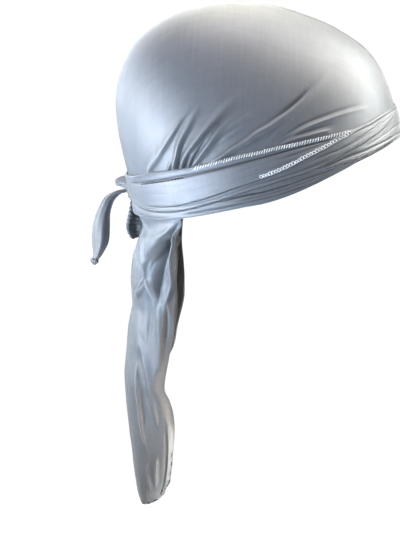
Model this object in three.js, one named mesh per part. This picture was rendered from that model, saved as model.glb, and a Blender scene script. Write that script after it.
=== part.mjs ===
// A silky grey durag in its worn shape: a stretched crown, two straps wound round the opening in
// three wraps and knotted at the back, and the long cape that hangs from the back.
// Millimetres. +Z is up, the front is at -Y and the wearer's left is at +X.
// The origin is the centre of the opening, in the plane of the wraps.
import * as THREE from 'three';

// Driving dimensions in millimetres
const crownLength = 196;      // front to back, outside
const crownWidth = 152;       // side to side, outside
const crownRise = 114;        // centre of the opening to the top
const crownWall = 1.5;
const wrapWidth = 36;         // strap bundle, lower edge to upper edge, at the sides
const wrapThickness = 2.8;    // strap bundle, several folds of cloth thick
const wrapEdge = 1.3;         // bundle's thickness at a folded edge
const rimTuck = 5;            // crown's rim lies this far inside the lower edge of the wraps
const capeLength = 222;       // rim of the crown to the tip
const capeHalfWidth = 62;     // middle of the back to a side edge, at the top
const capeDepth = 38;         // how far the side edges come forward
const capeWall = 1.6;
const capePleat = 3.2;        // height of the soft folds down the cape
const knotWidth = 18;         // along the wraps
const knotHeight = 15;
const knotDepth = 9;
const shortEndLength = 62;    // strap end that sticks out and curls down
const shortEndWidth = 11;
const tuckedEndLength = 27;   // the other strap end, below the knot
const tuckedEndWidth = 9;
const earLength = 11;         // corner of the loop above the knot
const earWidth = 9;
const endThickness = 3;       // a strap end folded on itself
const foldHeight = 3.4;       // tallest pull fold on the crown
const clearance = 0.35;       // between neighbouring pieces

// Driving angles in degrees
const openingTilt = 15;       // the opening rises towards the front
const capeSpan = 62;          // the cape's top runs this far to each side of the back
const capeBend = 80;          // half the arc that the cape's cross-section turns through
const knotAngle = 200;        // round the opening: 0 front, 90 wearer's right, 180 back

// Shape of the crown, as shares of crownLength, crownWidth and crownRise
const roundness = 2.25;       // exponent of the outline, 2 would be an ellipse
const rearFullness = 0.05;    // share by which the back is wider than the front

// The crown's side view: radius at each angle above the front, as a share of the plain ellipse
const profile = [
  { angle: 0, share: 1.000 }, { angle: 15, share: 1.008 }, { angle: 30, share: 1.034 },
  { angle: 45, share: 1.032 }, { angle: 60, share: 0.985 }, { angle: 75, share: 0.955 },
  { angle: 90, share: 0.970 }, { angle: 105, share: 1.022 }, { angle: 120, share: 1.098 },
  { angle: 135, share: 1.147 }, { angle: 150, share: 1.118 }, { angle: 165, share: 1.030 },
  { angle: 180, share: 0.949 }, { angle: 195, share: 0.915 }, { angle: 215, share: 0.930 },
  { angle: 240, share: 0.950 }, { angle: 270, share: 0.960 }, { angle: 300, share: 0.970 },
  { angle: 330, share: 0.980 },
];

// Edges of the three wraps round one half of the opening, as shares of wrapWidth above its plane:
// top of the upper wrap, its seam with the middle wrap, the middle's seam with the lower, lower edge
const wrapEdges = [
  { angle: 0, top: 0.43, upperSeam: 0.34, lowerSeam: 0.27, bottom: -0.18 },
  { angle: 15, top: 0.43, upperSeam: 0.34, lowerSeam: 0.26, bottom: -0.18 },
  { angle: 30, top: 0.38, upperSeam: 0.29, lowerSeam: 0.16, bottom: -0.23 },
  { angle: 45, top: 0.34, upperSeam: 0.25, lowerSeam: 0.04, bottom: -0.28 },
  { angle: 60, top: 0.38, upperSeam: 0.16, lowerSeam: -0.08, bottom: -0.39 },
  { angle: 75, top: 0.43, upperSeam: 0.04, lowerSeam: -0.14, bottom: -0.44 },
  { angle: 90, top: 0.46, upperSeam: -0.03, lowerSeam: -0.16, bottom: -0.49 },
  { angle: 110, top: 0.48, upperSeam: -0.13, lowerSeam: -0.22, bottom: -0.45 },
  { angle: 135, top: 0.53, upperSeam: -0.14, lowerSeam: -0.23, bottom: -0.40 },
  { angle: 160, top: 0.47, upperSeam: -0.02, lowerSeam: -0.12, bottom: -0.32 },
  { angle: 180, top: 0.47, upperSeam: 0.00, lowerSeam: -0.12, bottom: -0.30 },
];

// Pull folds on the wearer's right of the crown, mirrored on the left. Angles in degrees round the
// opening and up from its plane, height as a share of foldHeight, width in degrees of arc
const pullFolds = [
  { fromAngle: 135, toAngle: 115, fromRise: 14, toRise: 36, height: 0.70, width: 3.2 },
  { fromAngle: 126, toAngle: 108, fromRise: 14, toRise: 36, height: 0.85, width: 3.0 },
  { fromAngle: 118, toAngle: 94, fromRise: 14, toRise: 36, height: 0.95, width: 3.0 },
  { fromAngle: 109, toAngle: 82, fromRise: 14, toRise: 28, height: 0.65, width: 2.8 },
  { fromAngle: 100, toAngle: 46, fromRise: 14, toRise: 31, height: 1.00, width: 4.2 },
  { fromAngle: 84, toAngle: 30, fromRise: 13, toRise: 14, height: 0.60, width: 3.2 },
];

// The cape from its top to its tip: drop as a share of capeLength, half width of capeHalfWidth,
// rear of half the crownLength, depth of capeDepth, pleat of capePleat
const capeSections = [
  { drop: 0.10, halfWidth: 0.90, rear: 0.888, depth: 0.94, pleat: 0.75 },
  { drop: 0.20, halfWidth: 0.82, rear: 0.922, depth: 1.00, pleat: 1.00 },
  { drop: 0.30, halfWidth: 0.75, rear: 0.926, depth: 0.96, pleat: 0.95 },
  { drop: 0.38, halfWidth: 0.68, rear: 0.946, depth: 0.96, pleat: 0.80 },
  { drop: 0.45, halfWidth: 0.62, rear: 0.962, depth: 0.85, pleat: 0.65 },
  { drop: 0.55, halfWidth: 0.56, rear: 0.966, depth: 0.78, pleat: 0.50 },
  { drop: 0.64, halfWidth: 0.52, rear: 0.950, depth: 0.80, pleat: 0.42 },
  { drop: 0.73, halfWidth: 0.48, rear: 0.925, depth: 0.82, pleat: 0.40 },
  { drop: 0.82, halfWidth: 0.43, rear: 0.905, depth: 0.78, pleat: 0.35 },
  { drop: 0.89, halfWidth: 0.37, rear: 0.890, depth: 0.70, pleat: 0.28 },
  { drop: 0.95, halfWidth: 0.28, rear: 0.872, depth: 0.52, pleat: 0.18 },
  { drop: 1.00, halfWidth: 0.14, rear: 0.835, depth: 0.20, pleat: 0.05 },
];
const pleatWaves = 2.5;       // folds between the middle of the cape and a side edge

// Routes of the loose ends from the knot, as shares of each end's own length:
// out to the back, down, and to the wearer's right; breadth is a share of its width
const shortEndRoute = [
  { out: 0.00, down: 0.00, right: 0.00, breadth: 0.45 },
  { out: 0.09, down: 0.03, right: 0.03, breadth: 0.50 },
  { out: 0.17, down: 0.10, right: 0.06, breadth: 0.64 },
  { out: 0.23, down: 0.21, right: 0.09, breadth: 0.86 },
  { out: 0.26, down: 0.36, right: 0.12, breadth: 1.00 },
  { out: 0.28, down: 0.53, right: 0.15, breadth: 0.98 },
  { out: 0.31, down: 0.67, right: 0.17, breadth: 0.74 },
  { out: 0.34, down: 0.80, right: 0.18, breadth: 0.22 },
];
const tuckedEndRoute = [
  { out: 0.00, down: 0.00, right: 0.00, breadth: 0.60 },
  { out: 0.05, down: 0.20, right: 0.10, breadth: 0.90 },
  { out: 0.06, down: 0.42, right: 0.20, breadth: 1.00 },
  { out: 0.03, down: 0.64, right: 0.30, breadth: 0.90 },
  { out: -0.05, down: 0.84, right: 0.38, breadth: 0.45 },
];
const earRoute = [
  { out: 0.00, down: 0.00, right: 0.00, breadth: 0.70 },
  { out: 0.22, down: -0.10, right: 0.10, breadth: 1.00 },
  { out: 0.48, down: -0.12, right: 0.20, breadth: 0.85 },
  { out: 0.80, down: 0.02, right: 0.30, breadth: 0.35 },
];

// How finely the surfaces are divided
const crownColumns = [        // along each half of the opening, in degrees, closer where it folds
  { from: 0, to: 36, count: 4 },
  { from: 36, to: 84, count: 11 },
  { from: 84, to: 140, count: 25 },
  { from: 140, to: 180, count: 5 },
];
const coveredRows = 3;        // rows of the crown under the wraps
const openRows = 13;          // rows above them
const wrapColumns = 72;
const wrapOuterSteps = 5;
const capeColumns = 24;
const endSides = 8;
const knotColumns = 16;
const knotRows = 9;

const radians = Math.PI / 180;
const lerp = (a, b, t) => a + (b - a) * t;
const smooth = (t) => t * t * (3 - 2 * t);
const clamp01 = (t) => Math.min(1, Math.max(0, t));

// Smooth value at x in a table sorted by keyName; periodic tables close on themselves after 360
function tableValue(table, keyName, valueName, x, periodic = false) {
  const last = table.length - 1;
  const key = (i) => {
    if (!periodic) return table[Math.min(last, Math.max(0, i))][keyName];
    const turns = Math.floor(i / table.length);
    return table[i - turns * table.length][keyName] + turns * 360;
  };
  const value = (i) => {
    if (!periodic) return table[Math.min(last, Math.max(0, i))][valueName];
    return table[i - Math.floor(i / table.length) * table.length][valueName];
  };
  let i = 0;
  while (i < (periodic ? last : last - 1) && key(i + 1) <= x) i += 1;
  const gap = key(i + 1) - key(i);
  const t = periodic ? (x - key(i)) / gap : clamp01((x - key(i)) / gap);
  const slope = (a, b) => (key(b) === key(a) ? 0 : (value(b) - value(a)) / (key(b) - key(a)));
  const m0 = slope(i - 1, i + 1) * gap;
  const m1 = slope(i, i + 2) * gap;
  const t2 = t * t;
  const t3 = t2 * t;
  return (2 * t3 - 3 * t2 + 1) * value(i) + (t3 - 2 * t2 + t) * m0
    + (3 * t2 - 2 * t3) * value(i + 1) + (t3 - t2) * m1;
}

// Axes of the tilted opening: towards the front, the wearer's right, and the crown's top
const tilt = openingTilt * radians;
const forwardAxis = new THREE.Vector3(0, -Math.cos(tilt), Math.sin(tilt));
const rightAxis = new THREE.Vector3(-1, 0, 0);
const topAxis = new THREE.Vector3(0, Math.sin(tilt), Math.cos(tilt));

function direction(angle, rise) {
  const a = angle * radians;
  const r = rise * radians;
  return new THREE.Vector3()
    .addScaledVector(forwardAxis, Math.cos(r) * Math.cos(a))
    .addScaledVector(rightAxis, Math.cos(r) * Math.sin(a))
    .addScaledVector(topAxis, Math.sin(r));
}

// The crown's outline is 1 on its smooth surface, less inside and more outside
function outline(point) {
  const length = point.length();
  const forward = -point.y / length;
  const up = point.z / length;
  const flank = Math.abs(point.x) / length;
  const angle = Math.atan2(up, forward);
  const ellipse = 1 / Math.hypot(Math.cos(angle) / (crownLength / 2), Math.sin(angle) / crownRise);
  const turned = angle / radians;
  const share = tableValue(profile, 'angle', 'share', turned < 0 ? turned + 360 : turned, true);
  const halfWidth = (crownWidth / 2) * (1 - rearFullness * forward);
  const sideways = (flank / halfWidth) ** roundness;
  const lengthways = (Math.hypot(forward, up) / (ellipse * share)) ** roundness;
  return length * (sideways + lengthways) ** (1 / roundness);
}

function outwardNormal(point) {
  const step = 0.05;
  const slope = (axis) => {
    const ahead = point.clone();
    const behind = point.clone();
    ahead[axis] += step;
    behind[axis] -= step;
    return outline(ahead) - outline(behind);
  };
  return new THREE.Vector3(slope('x'), slope('y'), slope('z')).normalize();
}

// Point at an angle round the opening and a rise from its plane, lifted off the smooth crown
function crownPoint(angle, rise, lift = 0) {
  const along = direction(angle, rise);
  const point = along.multiplyScalar(1 / outline(along));
  return lift === 0 ? point : point.addScaledVector(outwardNormal(point), lift);
}

// The same, for a height in millimetres above the plane of the opening
function wrapPoint(angle, height, lift) {
  const reach = crownPoint(angle, 0).length();
  return crownPoint(angle, height / reach / radians, lift);
}

const mirrored = (angle) => {
  const turned = ((angle % 360) + 360) % 360;
  return turned > 180 ? 360 - turned : turned;
};
const edgeHeight = (edge, angle) => wrapWidth
  * tableValue(wrapEdges, 'angle', edge, mirrored(angle));
const rimHeight = (angle) => edgeHeight('bottom', angle) + rimTuck;
const riseOf = (height, angle) => height / crownPoint(angle, 0).length() / radians;
const foldStart = (angle) => riseOf(edgeHeight('top', angle) + 2 * clearance, angle);

// Height of the pull folds: ridges that start at the wraps and die out up the crown
function foldAt(angle, rise) {
  const side = mirrored(angle);
  let height = 0;
  for (const fold of pullFolds) {
    const t = (rise - fold.fromRise) / (fold.toRise - fold.fromRise);
    const spread = (fold.fromAngle - fold.toAngle) / (fold.toRise - fold.fromRise);
    const across = Math.abs(side - lerp(fold.fromAngle, fold.toAngle, t)) / Math.hypot(1, spread);
    const rows = smooth(clamp01((1.1 - t) / 0.7));
    height += fold.height * rows * Math.exp(-((across / fold.width) ** 2) * 2);
  }
  return foldHeight * Math.min(height, 1.1) * smooth(clamp01((rise - foldStart(angle)) / 3));
}

// Turns a list of corner points and triangles into a solid's geometry, its faces turned outwards
function solidGeometry(points, triangles) {
  const geometry = new THREE.BufferGeometry();
  const flat = points.flatMap((p) => [p.x, p.y, p.z]);
  const sixVolumes = triangles.map(([a, b, c]) => points[a].dot(points[b].clone().cross(points[c])));
  const facesOut = sixVolumes.reduce((sum, volume) => sum + volume, 0) > 0;
  geometry.setAttribute('position', new THREE.Float32BufferAttribute(flat, 3));
  geometry.setIndex(triangles.flatMap(([a, b, c]) => (facesOut ? [a, b, c] : [a, c, b])));
  geometry.computeVertexNormals();
  return geometry;
}

const quad = (a, b, c, d) => [[a, b, c], [a, c, d]];

// A dome with a wall: rings of points from the rim to the pole, outside and inside
function domeGeometry(outerRings, outerPole, innerRings, innerPole) {
  const columns = outerRings[0].length;
  const rows = outerRings.length;
  const points = [...outerRings.flat(), outerPole, ...innerRings.flat(), innerPole];
  const inner = columns * rows + 1;
  const triangles = [];
  for (let c = 0; c < columns; c += 1) {
    const next = (c + 1) % columns;
    for (let r = 0; r < rows - 1; r += 1) {
      const here = r * columns;
      const above = here + columns;
      triangles.push(...quad(here + next, here + c, above + c, above + next));
      triangles.push(...quad(inner + here + c, inner + here + next,
        inner + above + next, inner + above + c));
    }
    const lastRing = (rows - 1) * columns;
    triangles.push([lastRing + next, lastRing + c, rows * columns]);
    triangles.push([inner + lastRing + c, inner + lastRing + next, inner + rows * columns]);
    triangles.push(...quad(c, next, inner + next, inner + c));
  }
  return solidGeometry(points, triangles);
}

// A closed hoop: one closed section of points for each column
function hoopGeometry(sections) {
  const columns = sections.length;
  const sides = sections[0].length;
  const triangles = [];
  for (let c = 0; c < columns; c += 1) {
    const next = (c + 1) % columns;
    for (let s = 0; s < sides; s += 1) {
      const up = (s + 1) % sides;
      triangles.push(...quad(c * sides + s, c * sides + up, next * sides + up, next * sides + s));
    }
  }
  return solidGeometry(sections.flat(), triangles);
}

// A tube of closed sections whose two ends are closed by flat fans
function cappedGeometry(sections) {
  const sides = sections[0].length;
  const last = (sections.length - 1) * sides;
  const triangles = [];
  for (let row = 0; row < sections.length - 1; row += 1) {
    for (let s = 0; s < sides; s += 1) {
      const up = (s + 1) % sides;
      const a = row * sides;
      triangles.push(...quad(a + s, a + sides + s, a + sides + up, a + up));
    }
  }
  for (let s = 1; s < sides - 1; s += 1) {
    triangles.push([0, s, s + 1]);
    triangles.push([last, last + s + 1, last + s]);
  }
  return solidGeometry(sections.flat(), triangles);
}

// A sheet with a wall: rows of points on its outer face and the same rows on its inner face
function sheetGeometry(outer, inner) {
  const columns = outer[0].length;
  const rows = outer.length;
  const back = columns * rows;
  const triangles = [];
  for (let r = 0; r < rows - 1; r += 1) {
    for (let c = 0; c < columns - 1; c += 1) {
      const a = r * columns + c;
      triangles.push(...quad(a, a + 1, a + columns + 1, a + columns));
      triangles.push(...quad(back + a + 1, back + a, back + a + columns, back + a + columns + 1));
    }
    const left = r * columns;
    const right = left + columns - 1;
    triangles.push(...quad(back + left, left, left + columns, back + left + columns));
    triangles.push(...quad(right, back + right, back + right + columns, right + columns));
  }
  const lastRow = (rows - 1) * columns;
  for (let c = 0; c < columns - 1; c += 1) {
    triangles.push(...quad(c + 1, c, back + c, back + c + 1));
    triangles.push(...quad(lastRow + c, lastRow + c + 1, back + lastRow + c + 1, back + lastRow + c));
  }
  return solidGeometry([...outer.flat(), ...inner.flat()], triangles);
}

function crownGeometry() {
  const half = crownColumns.flatMap(({ from, to, count }) => [...Array(count).keys()]
    .map((i) => lerp(from, to, i / count)));
  const angles = [...half, 180, ...half.slice(1).toReversed().map((angle) => 360 - angle)];
  const ring = (row, wall) => angles.map((angle) => {
    const rim = riseOf(rimHeight(angle), angle);
    const meet = foldStart(angle);
    const under = lerp(rim, meet, row / coveredRows);
    const above = lerp(meet, 90, clamp01((row - coveredRows) / openRows) ** 1.3);
    const rise = row < coveredRows ? under : above;
    return crownPoint(angle, rise, foldAt(angle, rise) - wall);
  });
  const rows = [...Array(coveredRows + openRows).keys()];
  return domeGeometry(
    rows.map((row) => ring(row, 0)),
    crownPoint(0, 90),
    rows.map((row) => ring(row, crownWall)),
    crownPoint(0, 90, -crownWall),
  );
}

// One wrap of the strap bundle between two edges: flat on the crown, rounded and pleated outside
function wrapGeometry(lowEdge, highEdge, pleats, lowGap, highGap) {
  const sections = [...Array(wrapColumns).keys()].map((column) => {
    const angle = column * 360 / wrapColumns;
    const low = edgeHeight(lowEdge, angle) + lowGap;
    const high = edgeHeight(highEdge, angle) - highGap;
    const outer = [...Array(wrapOuterSteps + 1).keys()].map((step) => {
      const share = step / wrapOuterSteps;
      const crowned = lerp(wrapEdge, wrapThickness, Math.sin(Math.PI * share) ** 0.7);
      const pleat = 1 - 0.14 * (1 - Math.cos(2 * Math.PI * pleats * share)) / 2;
      return wrapPoint(angle, lerp(low, high, share), clearance + crowned * pleat);
    });
    const inner = [1, 0.5, 0].map((share) => wrapPoint(angle, lerp(low, high, share), clearance));
    return [...outer, ...inner];
  });
  return hoopGeometry(sections);
}

// The cape: tucked under the lower wrap, then an arc at each height, with soft pleats down it
function capeGeometry() {
  const bend = capeBend * radians;
  const tucked = (u, lift, share) => {
    const angle = 180 - u * capeSpan;
    const bottom = edgeHeight('bottom', angle);
    const height = lerp(rimHeight(angle) - clearance, bottom - clearance, share);
    return wrapPoint(angle, height, lift - crownWall / 2);
  };
  const topLevel = tucked(0, 0, 0).z;
  const hung = (u, lift, row) => {
    const turn = u * bend;
    const pleat = capePleat * row.pleat * Math.sin(Math.PI * pleatWaves * u);
    const outward = new THREE.Vector3(-Math.sin(turn), Math.cos(turn), 0);
    const forward = (1 - Math.cos(turn)) / (1 - Math.cos(bend));
    return new THREE.Vector3(
      -capeHalfWidth * row.halfWidth * Math.sin(turn) / Math.sin(bend),
      row.rear * crownLength / 2 - capeDepth * row.depth * forward,
      topLevel - row.drop * capeLength,
    ).addScaledVector(outward, pleat + lift);
  };
  const face = (lift) => {
    const across = (place) => [...Array(capeColumns + 1).keys()]
      .map((column) => place(lerp(-1, 1, column / capeColumns)));
    return [
      ...[0, 0.5, 1].map((share) => across((u) => tucked(u, lift, share))),
      ...capeSections.map((row) => across((u) => hung(u, lift, row))),
    ];
  };
  return sheetGeometry(face(capeWall / 2), face(-capeWall / 2));
}

// Where the knot sits, and the axes of the wraps there
function knotFrame() {
  const height = (edgeHeight('lowerSeam', knotAngle) + edgeHeight('upperSeam', knotAngle)) / 2;
  const seat = wrapPoint(knotAngle, height, clearance + wrapThickness);
  const out = outwardNormal(seat);
  const along = wrapPoint(knotAngle + 1, height, clearance + wrapThickness).sub(seat);
  along.addScaledVector(out, -along.dot(out)).normalize();
  const up = new THREE.Vector3().crossVectors(out, along).normalize();
  if (up.z < 0) up.negate();
  const centre = seat.addScaledVector(out, clearance + knotDepth / 2);
  return { centre, out, along, up };
}

// The knot: a tight round lump with one turn of strap drawn over its middle
function knotGeometry() {
  const { centre, out, along, up } = knotFrame();
  const place = (turn, fall) => {
    const ring = Math.sin(fall);
    const sideways = ring * Math.cos(turn);
    const outwards = ring * Math.sin(turn);
    const waist = 1 - 0.13 * Math.exp(-(((Math.abs(sideways) - 0.5) / 0.14) ** 2));
    return centre.clone()
      .addScaledVector(along, sideways * knotWidth / 2)
      .addScaledVector(out, outwards * waist * knotDepth / 2)
      .addScaledVector(up, Math.cos(fall) * waist * knotHeight / 2);
  };
  const rings = [...Array(knotRows).keys()].map((row) => {
    const fall = Math.PI * (row + 0.5) / knotRows;
    return [...Array(knotColumns).keys()].map((c) => place(c * 2 * Math.PI / knotColumns, fall));
  });
  return cappedGeometry(rings);
}

// A strap end, folded on itself: a flat rounded section that follows a route from the knot
function strapEndGeometry(route, length, width, start, spreadAxis) {
  const curve = new THREE.CatmullRomCurve3(route.map((row) => new THREE.Vector3(
    -row.right * length,
    row.out * length,
    -row.down * length,
  ).add(start)));
  const steps = route.length * 2 - 2;
  const sections = [...Array(steps + 1).keys()].map((step) => {
    const t = step / steps;
    const rowShare = t * (route.length - 1);
    const row = Math.min(route.length - 2, Math.floor(rowShare));
    const breadth = lerp(route[row].breadth, route[row + 1].breadth, rowShare - row);
    const tangent = curve.getTangent(t);
    const thin = new THREE.Vector3().crossVectors(tangent, spreadAxis).normalize();
    const wide = new THREE.Vector3().crossVectors(thin, tangent).normalize();
    const middle = curve.getPoint(t);
    return [...Array(endSides).keys()].map((side) => {
      const turn = side * 2 * Math.PI / endSides;
      return middle.clone()
        .addScaledVector(wide, Math.cos(turn) * breadth * width / 2)
        .addScaledVector(thin, Math.sin(turn) * Math.max(0.4, breadth) * endThickness / 2);
    });
  });
  return cappedGeometry(sections);
}

const satin = new THREE.MeshStandardMaterial({ color: '#9aa0aa', roughness: 0.38, metalness: 0 });
const paleSatin = new THREE.MeshStandardMaterial({ color: '#aab2bf', roughness: 0.36, metalness: 0 });

const durag = new THREE.Group();
function addPiece(name, geometry, material) {
  const piece = new THREE.Mesh(geometry, material);
  piece.name = name;
  durag.add(piece);
}

addPiece('crown', crownGeometry(), satin);
addPiece('upper_wrap', wrapGeometry('upperSeam', 'top', 2, clearance / 2, 0), paleSatin);
addPiece('middle_wrap', wrapGeometry('lowerSeam', 'upperSeam', 1, clearance / 2, clearance / 2), satin);
addPiece('lower_wrap', wrapGeometry('bottom', 'lowerSeam', 3, 0, clearance / 2), satin);
addPiece('cape', capeGeometry(), paleSatin);
addPiece('knot', knotGeometry(), satin);

const knot = knotFrame();
const fromKnot = (outShare, upShare) => knot.centre.clone()
  .addScaledVector(knot.out, outShare * (knotDepth / 2 + clearance))
  .addScaledVector(knot.up, upShare * (knotHeight / 2 + clearance));
const shortEndAcross = new THREE.Vector3(0.30, 0.95, 0);
const tuckedEndAcross = new THREE.Vector3(0.64, 0.77, 0);
const earAcross = new THREE.Vector3(0.50, 0, 0.87);
addPiece('short_strap_end', strapEndGeometry(shortEndRoute, shortEndLength, shortEndWidth,
  fromKnot(1.3, 0), shortEndAcross), paleSatin);
addPiece('tucked_strap_end', strapEndGeometry(tuckedEndRoute, tuckedEndLength, tuckedEndWidth,
  fromKnot(0.5, -1.02), tuckedEndAcross), satin);
addPiece('knot_ear', strapEndGeometry(earRoute, earLength, earWidth,
  fromKnot(0.2, 1.24), earAcross), paleSatin);

export default durag;
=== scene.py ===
import math

import bpy
import numpy as np
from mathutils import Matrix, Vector


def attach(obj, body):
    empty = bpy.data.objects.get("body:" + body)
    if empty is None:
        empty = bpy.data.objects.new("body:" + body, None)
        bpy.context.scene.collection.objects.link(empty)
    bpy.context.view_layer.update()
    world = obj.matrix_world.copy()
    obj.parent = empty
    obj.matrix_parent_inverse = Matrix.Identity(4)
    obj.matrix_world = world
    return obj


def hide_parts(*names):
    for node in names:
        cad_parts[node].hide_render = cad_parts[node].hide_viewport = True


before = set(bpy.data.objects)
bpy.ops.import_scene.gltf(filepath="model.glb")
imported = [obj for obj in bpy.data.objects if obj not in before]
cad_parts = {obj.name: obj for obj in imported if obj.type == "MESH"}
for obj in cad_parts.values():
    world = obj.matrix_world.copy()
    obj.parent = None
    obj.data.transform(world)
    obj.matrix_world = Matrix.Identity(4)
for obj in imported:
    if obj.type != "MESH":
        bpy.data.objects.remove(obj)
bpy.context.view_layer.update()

mm = 0.001
fullTurn = 2 * np.pi

# The view: level with the right side, a little above, on a 400 by 543 picture.
viewSettings = {
    "distance": 1.200,            # camera to the centre of the opening, in metres
    "elevation": 8,               # degrees above level
    "millimetresPerPixel": 0.705,
    "picture": (400, 543),
    "centreAt": (258, 162),       # where the centre of the opening falls in the picture
    "sensor": 36,                 # millimetres
}


def linkObject(name, data):
    made = bpy.data.objects.new(name, data)
    bpy.context.collection.objects.link(made)
    return made


def makeCamera(view):
    rise = math.radians(view["elevation"])
    place = Vector((-math.cos(rise), 0, math.sin(rise))) * view["distance"]
    width, height = view["picture"]
    focal = view["distance"] * 1000 / view["millimetresPerPixel"]      # in pixels
    offsetX = (view["centreAt"][0] - width / 2) / focal
    offsetY = (height / 2 - view["centreAt"][1]) / focal
    # turn the camera so that the origin lands off the picture's centre by those offsets
    yaw, pitch = 0.0, 0.0
    for _ in range(40):
        level = math.cos(pitch)
        forward = Vector((level * math.cos(yaw), level * math.sin(yaw), math.sin(pitch)))
        right = forward.cross(Vector((0, 0, 1))).normalized()
        up = right.cross(forward)
        depth = -place.dot(forward)
        yaw += offsetX - (-place.dot(right)) / depth
        pitch -= offsetY - (-place.dot(up)) / depth
    data = bpy.data.cameras.new("photoCamera")
    data.sensor_width = view["sensor"]
    data.lens = view["sensor"] * focal / max(width, height)
    camera = linkObject("photoCamera", data)
    camera.location = place
    camera.rotation_euler = forward.to_track_quat("-Z", "Y").to_euler()
    bpy.context.scene.camera = camera


makeCamera(viewSettings)
print("camera placed")

# The crown's smooth surface, in millimetres, the same as the solid that it stands for.
crownShape = {
    "length": 196, "width": 152, "rise": 114,
    "openingTilt": 15, "roundness": 2.25, "rearFullness": 0.05,
    # degrees above the front, then the radius as a share of the plain ellipse
    "profile": [
        (0, 1.000), (15, 1.008), (30, 1.034), (45, 1.032), (60, 0.985), (75, 0.955), (90, 0.970),
        (105, 1.022), (120, 1.098), (135, 1.147), (150, 1.118), (165, 1.030), (180, 0.949),
        (195, 0.915), (215, 0.930), (240, 0.950), (270, 0.960), (300, 0.970), (330, 0.980),
    ],
}
tilt = math.radians(crownShape["openingTilt"])
forwardAxis = np.array([0, -math.cos(tilt), math.sin(tilt)])
rightAxis = np.array([-1.0, 0, 0])
topAxis = np.array([0, math.sin(tilt), math.cos(tilt)])


def lerp(a, b, t):
    return a + (b - a) * t


def smoothStep(x, low=0.0, high=1.0):
    t = np.clip((x - low) / (high - low), 0, 1)
    return t * t * (3 - 2 * t)


def within(x, low, high, blend):
    # 1 between two values, running out to 0 over a short stretch inside each
    return smoothStep(x, low, low + blend) * smoothStep(-x, -high, blend - high)


def unit(vectors):
    return vectors / np.linalg.norm(vectors, axis=-1, keepdims=True)


def curveThrough(points, x, period=None):
    # smooth curve through a few (x, y) points, read at every x
    xs, ys = np.array(sorted(points), float).T
    x = np.asarray(x, float)
    if period:
        xs = np.concatenate([xs[-2:] - period, xs, xs[:2] + period])
        ys = np.concatenate([ys[-2:], ys, ys[:2]])
        x = np.mod(x, period)
    else:
        x = np.clip(x, xs[0], xs[-1])
    slope = np.empty_like(ys)
    slope[1:-1] = (ys[2:] - ys[:-2]) / (xs[2:] - xs[:-2])
    slope[0] = (ys[1] - ys[0]) / (xs[1] - xs[0])
    slope[-1] = (ys[-1] - ys[-2]) / (xs[-1] - xs[-2])
    i = np.clip(np.searchsorted(xs, x, side="right") - 1, 0, len(xs) - 2)
    gap = xs[i + 1] - xs[i]
    t = (x - xs[i]) / gap
    t2, t3 = t * t, t * t * t
    return ((2 * t3 - 3 * t2 + 1) * ys[i] + (t3 - 2 * t2 + t) * gap * slope[i]
            + (3 * t2 - 2 * t3) * ys[i + 1] + (t3 - t2) * gap * slope[i + 1])


def alongRoute(route, count):
    # a smooth line through the rows of a short table, read at even steps
    steps = np.linspace(0, len(route) - 1, count)
    return np.stack([curveThrough(enumerate(column), steps) for column in zip(*route)], -1)


def outline(points):
    # 1 on the crown's smooth surface, less inside
    length = np.linalg.norm(points, axis=-1)
    forward, up = -points[..., 1] / length, points[..., 2] / length
    flank = np.abs(points[..., 0]) / length
    angle = np.arctan2(up, forward)
    ellipse = 1 / np.hypot(np.cos(angle) / (crownShape["length"] / 2), np.sin(angle) / crownShape["rise"])
    share = curveThrough(crownShape["profile"], np.degrees(angle), 360)
    halfWidth = crownShape["width"] / 2 * (1 - crownShape["rearFullness"] * forward)
    power = crownShape["roundness"]
    inner = (flank / halfWidth) ** power + (np.hypot(forward, up) / (ellipse * share)) ** power
    return length * inner ** (1 / power)


def outwardNormals(points):
    normals = np.empty_like(points)
    for axis in range(3):
        step = np.zeros(3)
        step[axis] = 0.05
        normals[..., axis] = outline(points + step) - outline(points - step)
    return unit(normals)


def crownPoints(angle, rise, lift=0.0):
    # angle round the opening (0 front, 90 right as worn, 180 back) and rise above its plane, in degrees
    angle, rise = np.broadcast_arrays(np.radians(angle), np.radians(rise))
    ray = ((np.cos(rise) * np.cos(angle))[..., None] * forwardAxis
           + (np.cos(rise) * np.sin(angle))[..., None] * rightAxis
           + np.sin(rise)[..., None] * topAxis)
    points = ray / outline(ray)[..., None]
    return points + outwardNormals(points) * np.broadcast_to(lift, rise.shape)[..., None]


def riseOf(angle, height):
    return np.degrees(height / np.linalg.norm(crownPoints(angle, 0.0), axis=-1))


def bandPoints(angle, height, lift):
    # the same, for a height in millimetres above the plane of the opening
    angle, height = np.broadcast_arrays(np.asarray(angle, float), np.asarray(height, float))
    return crownPoints(angle, riseOf(angle, height), lift)


def onFarSide(angle):
    return np.mod(angle, 360) > 180


def mirrored(angle):
    return np.where(onFarSide(angle), 360 - np.mod(angle, 360), np.mod(angle, 360))


def gentleWaves(x, y, seed):
    # smooth wandering surface between -1 and 1, the same on every run
    total = 0.0
    for k in range(5):
        phase = seed * 1.7 + k * 2.399
        turn = k * 1.13 + seed
        across = x * (1 + 0.37 * k) * math.cos(turn)
        total = total + np.sin(across + y * (1 + 0.29 * k) * math.sin(turn) + phase)
    return total / 5


def gridFaces(rows, columns, closeRows=False, closeColumns=False):
    r = np.arange(rows if closeRows else rows - 1)
    c = np.arange(columns if closeColumns else columns - 1)
    r, c = (a.ravel() for a in np.meshgrid(r, c, indexing="ij"))
    corners = [(r, c), (r, c + 1), (r + 1, c + 1), (r + 1, c)]
    faces = np.stack([(a % rows) * columns + b % columns for a, b in corners], -1)
    return faces, corners


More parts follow.
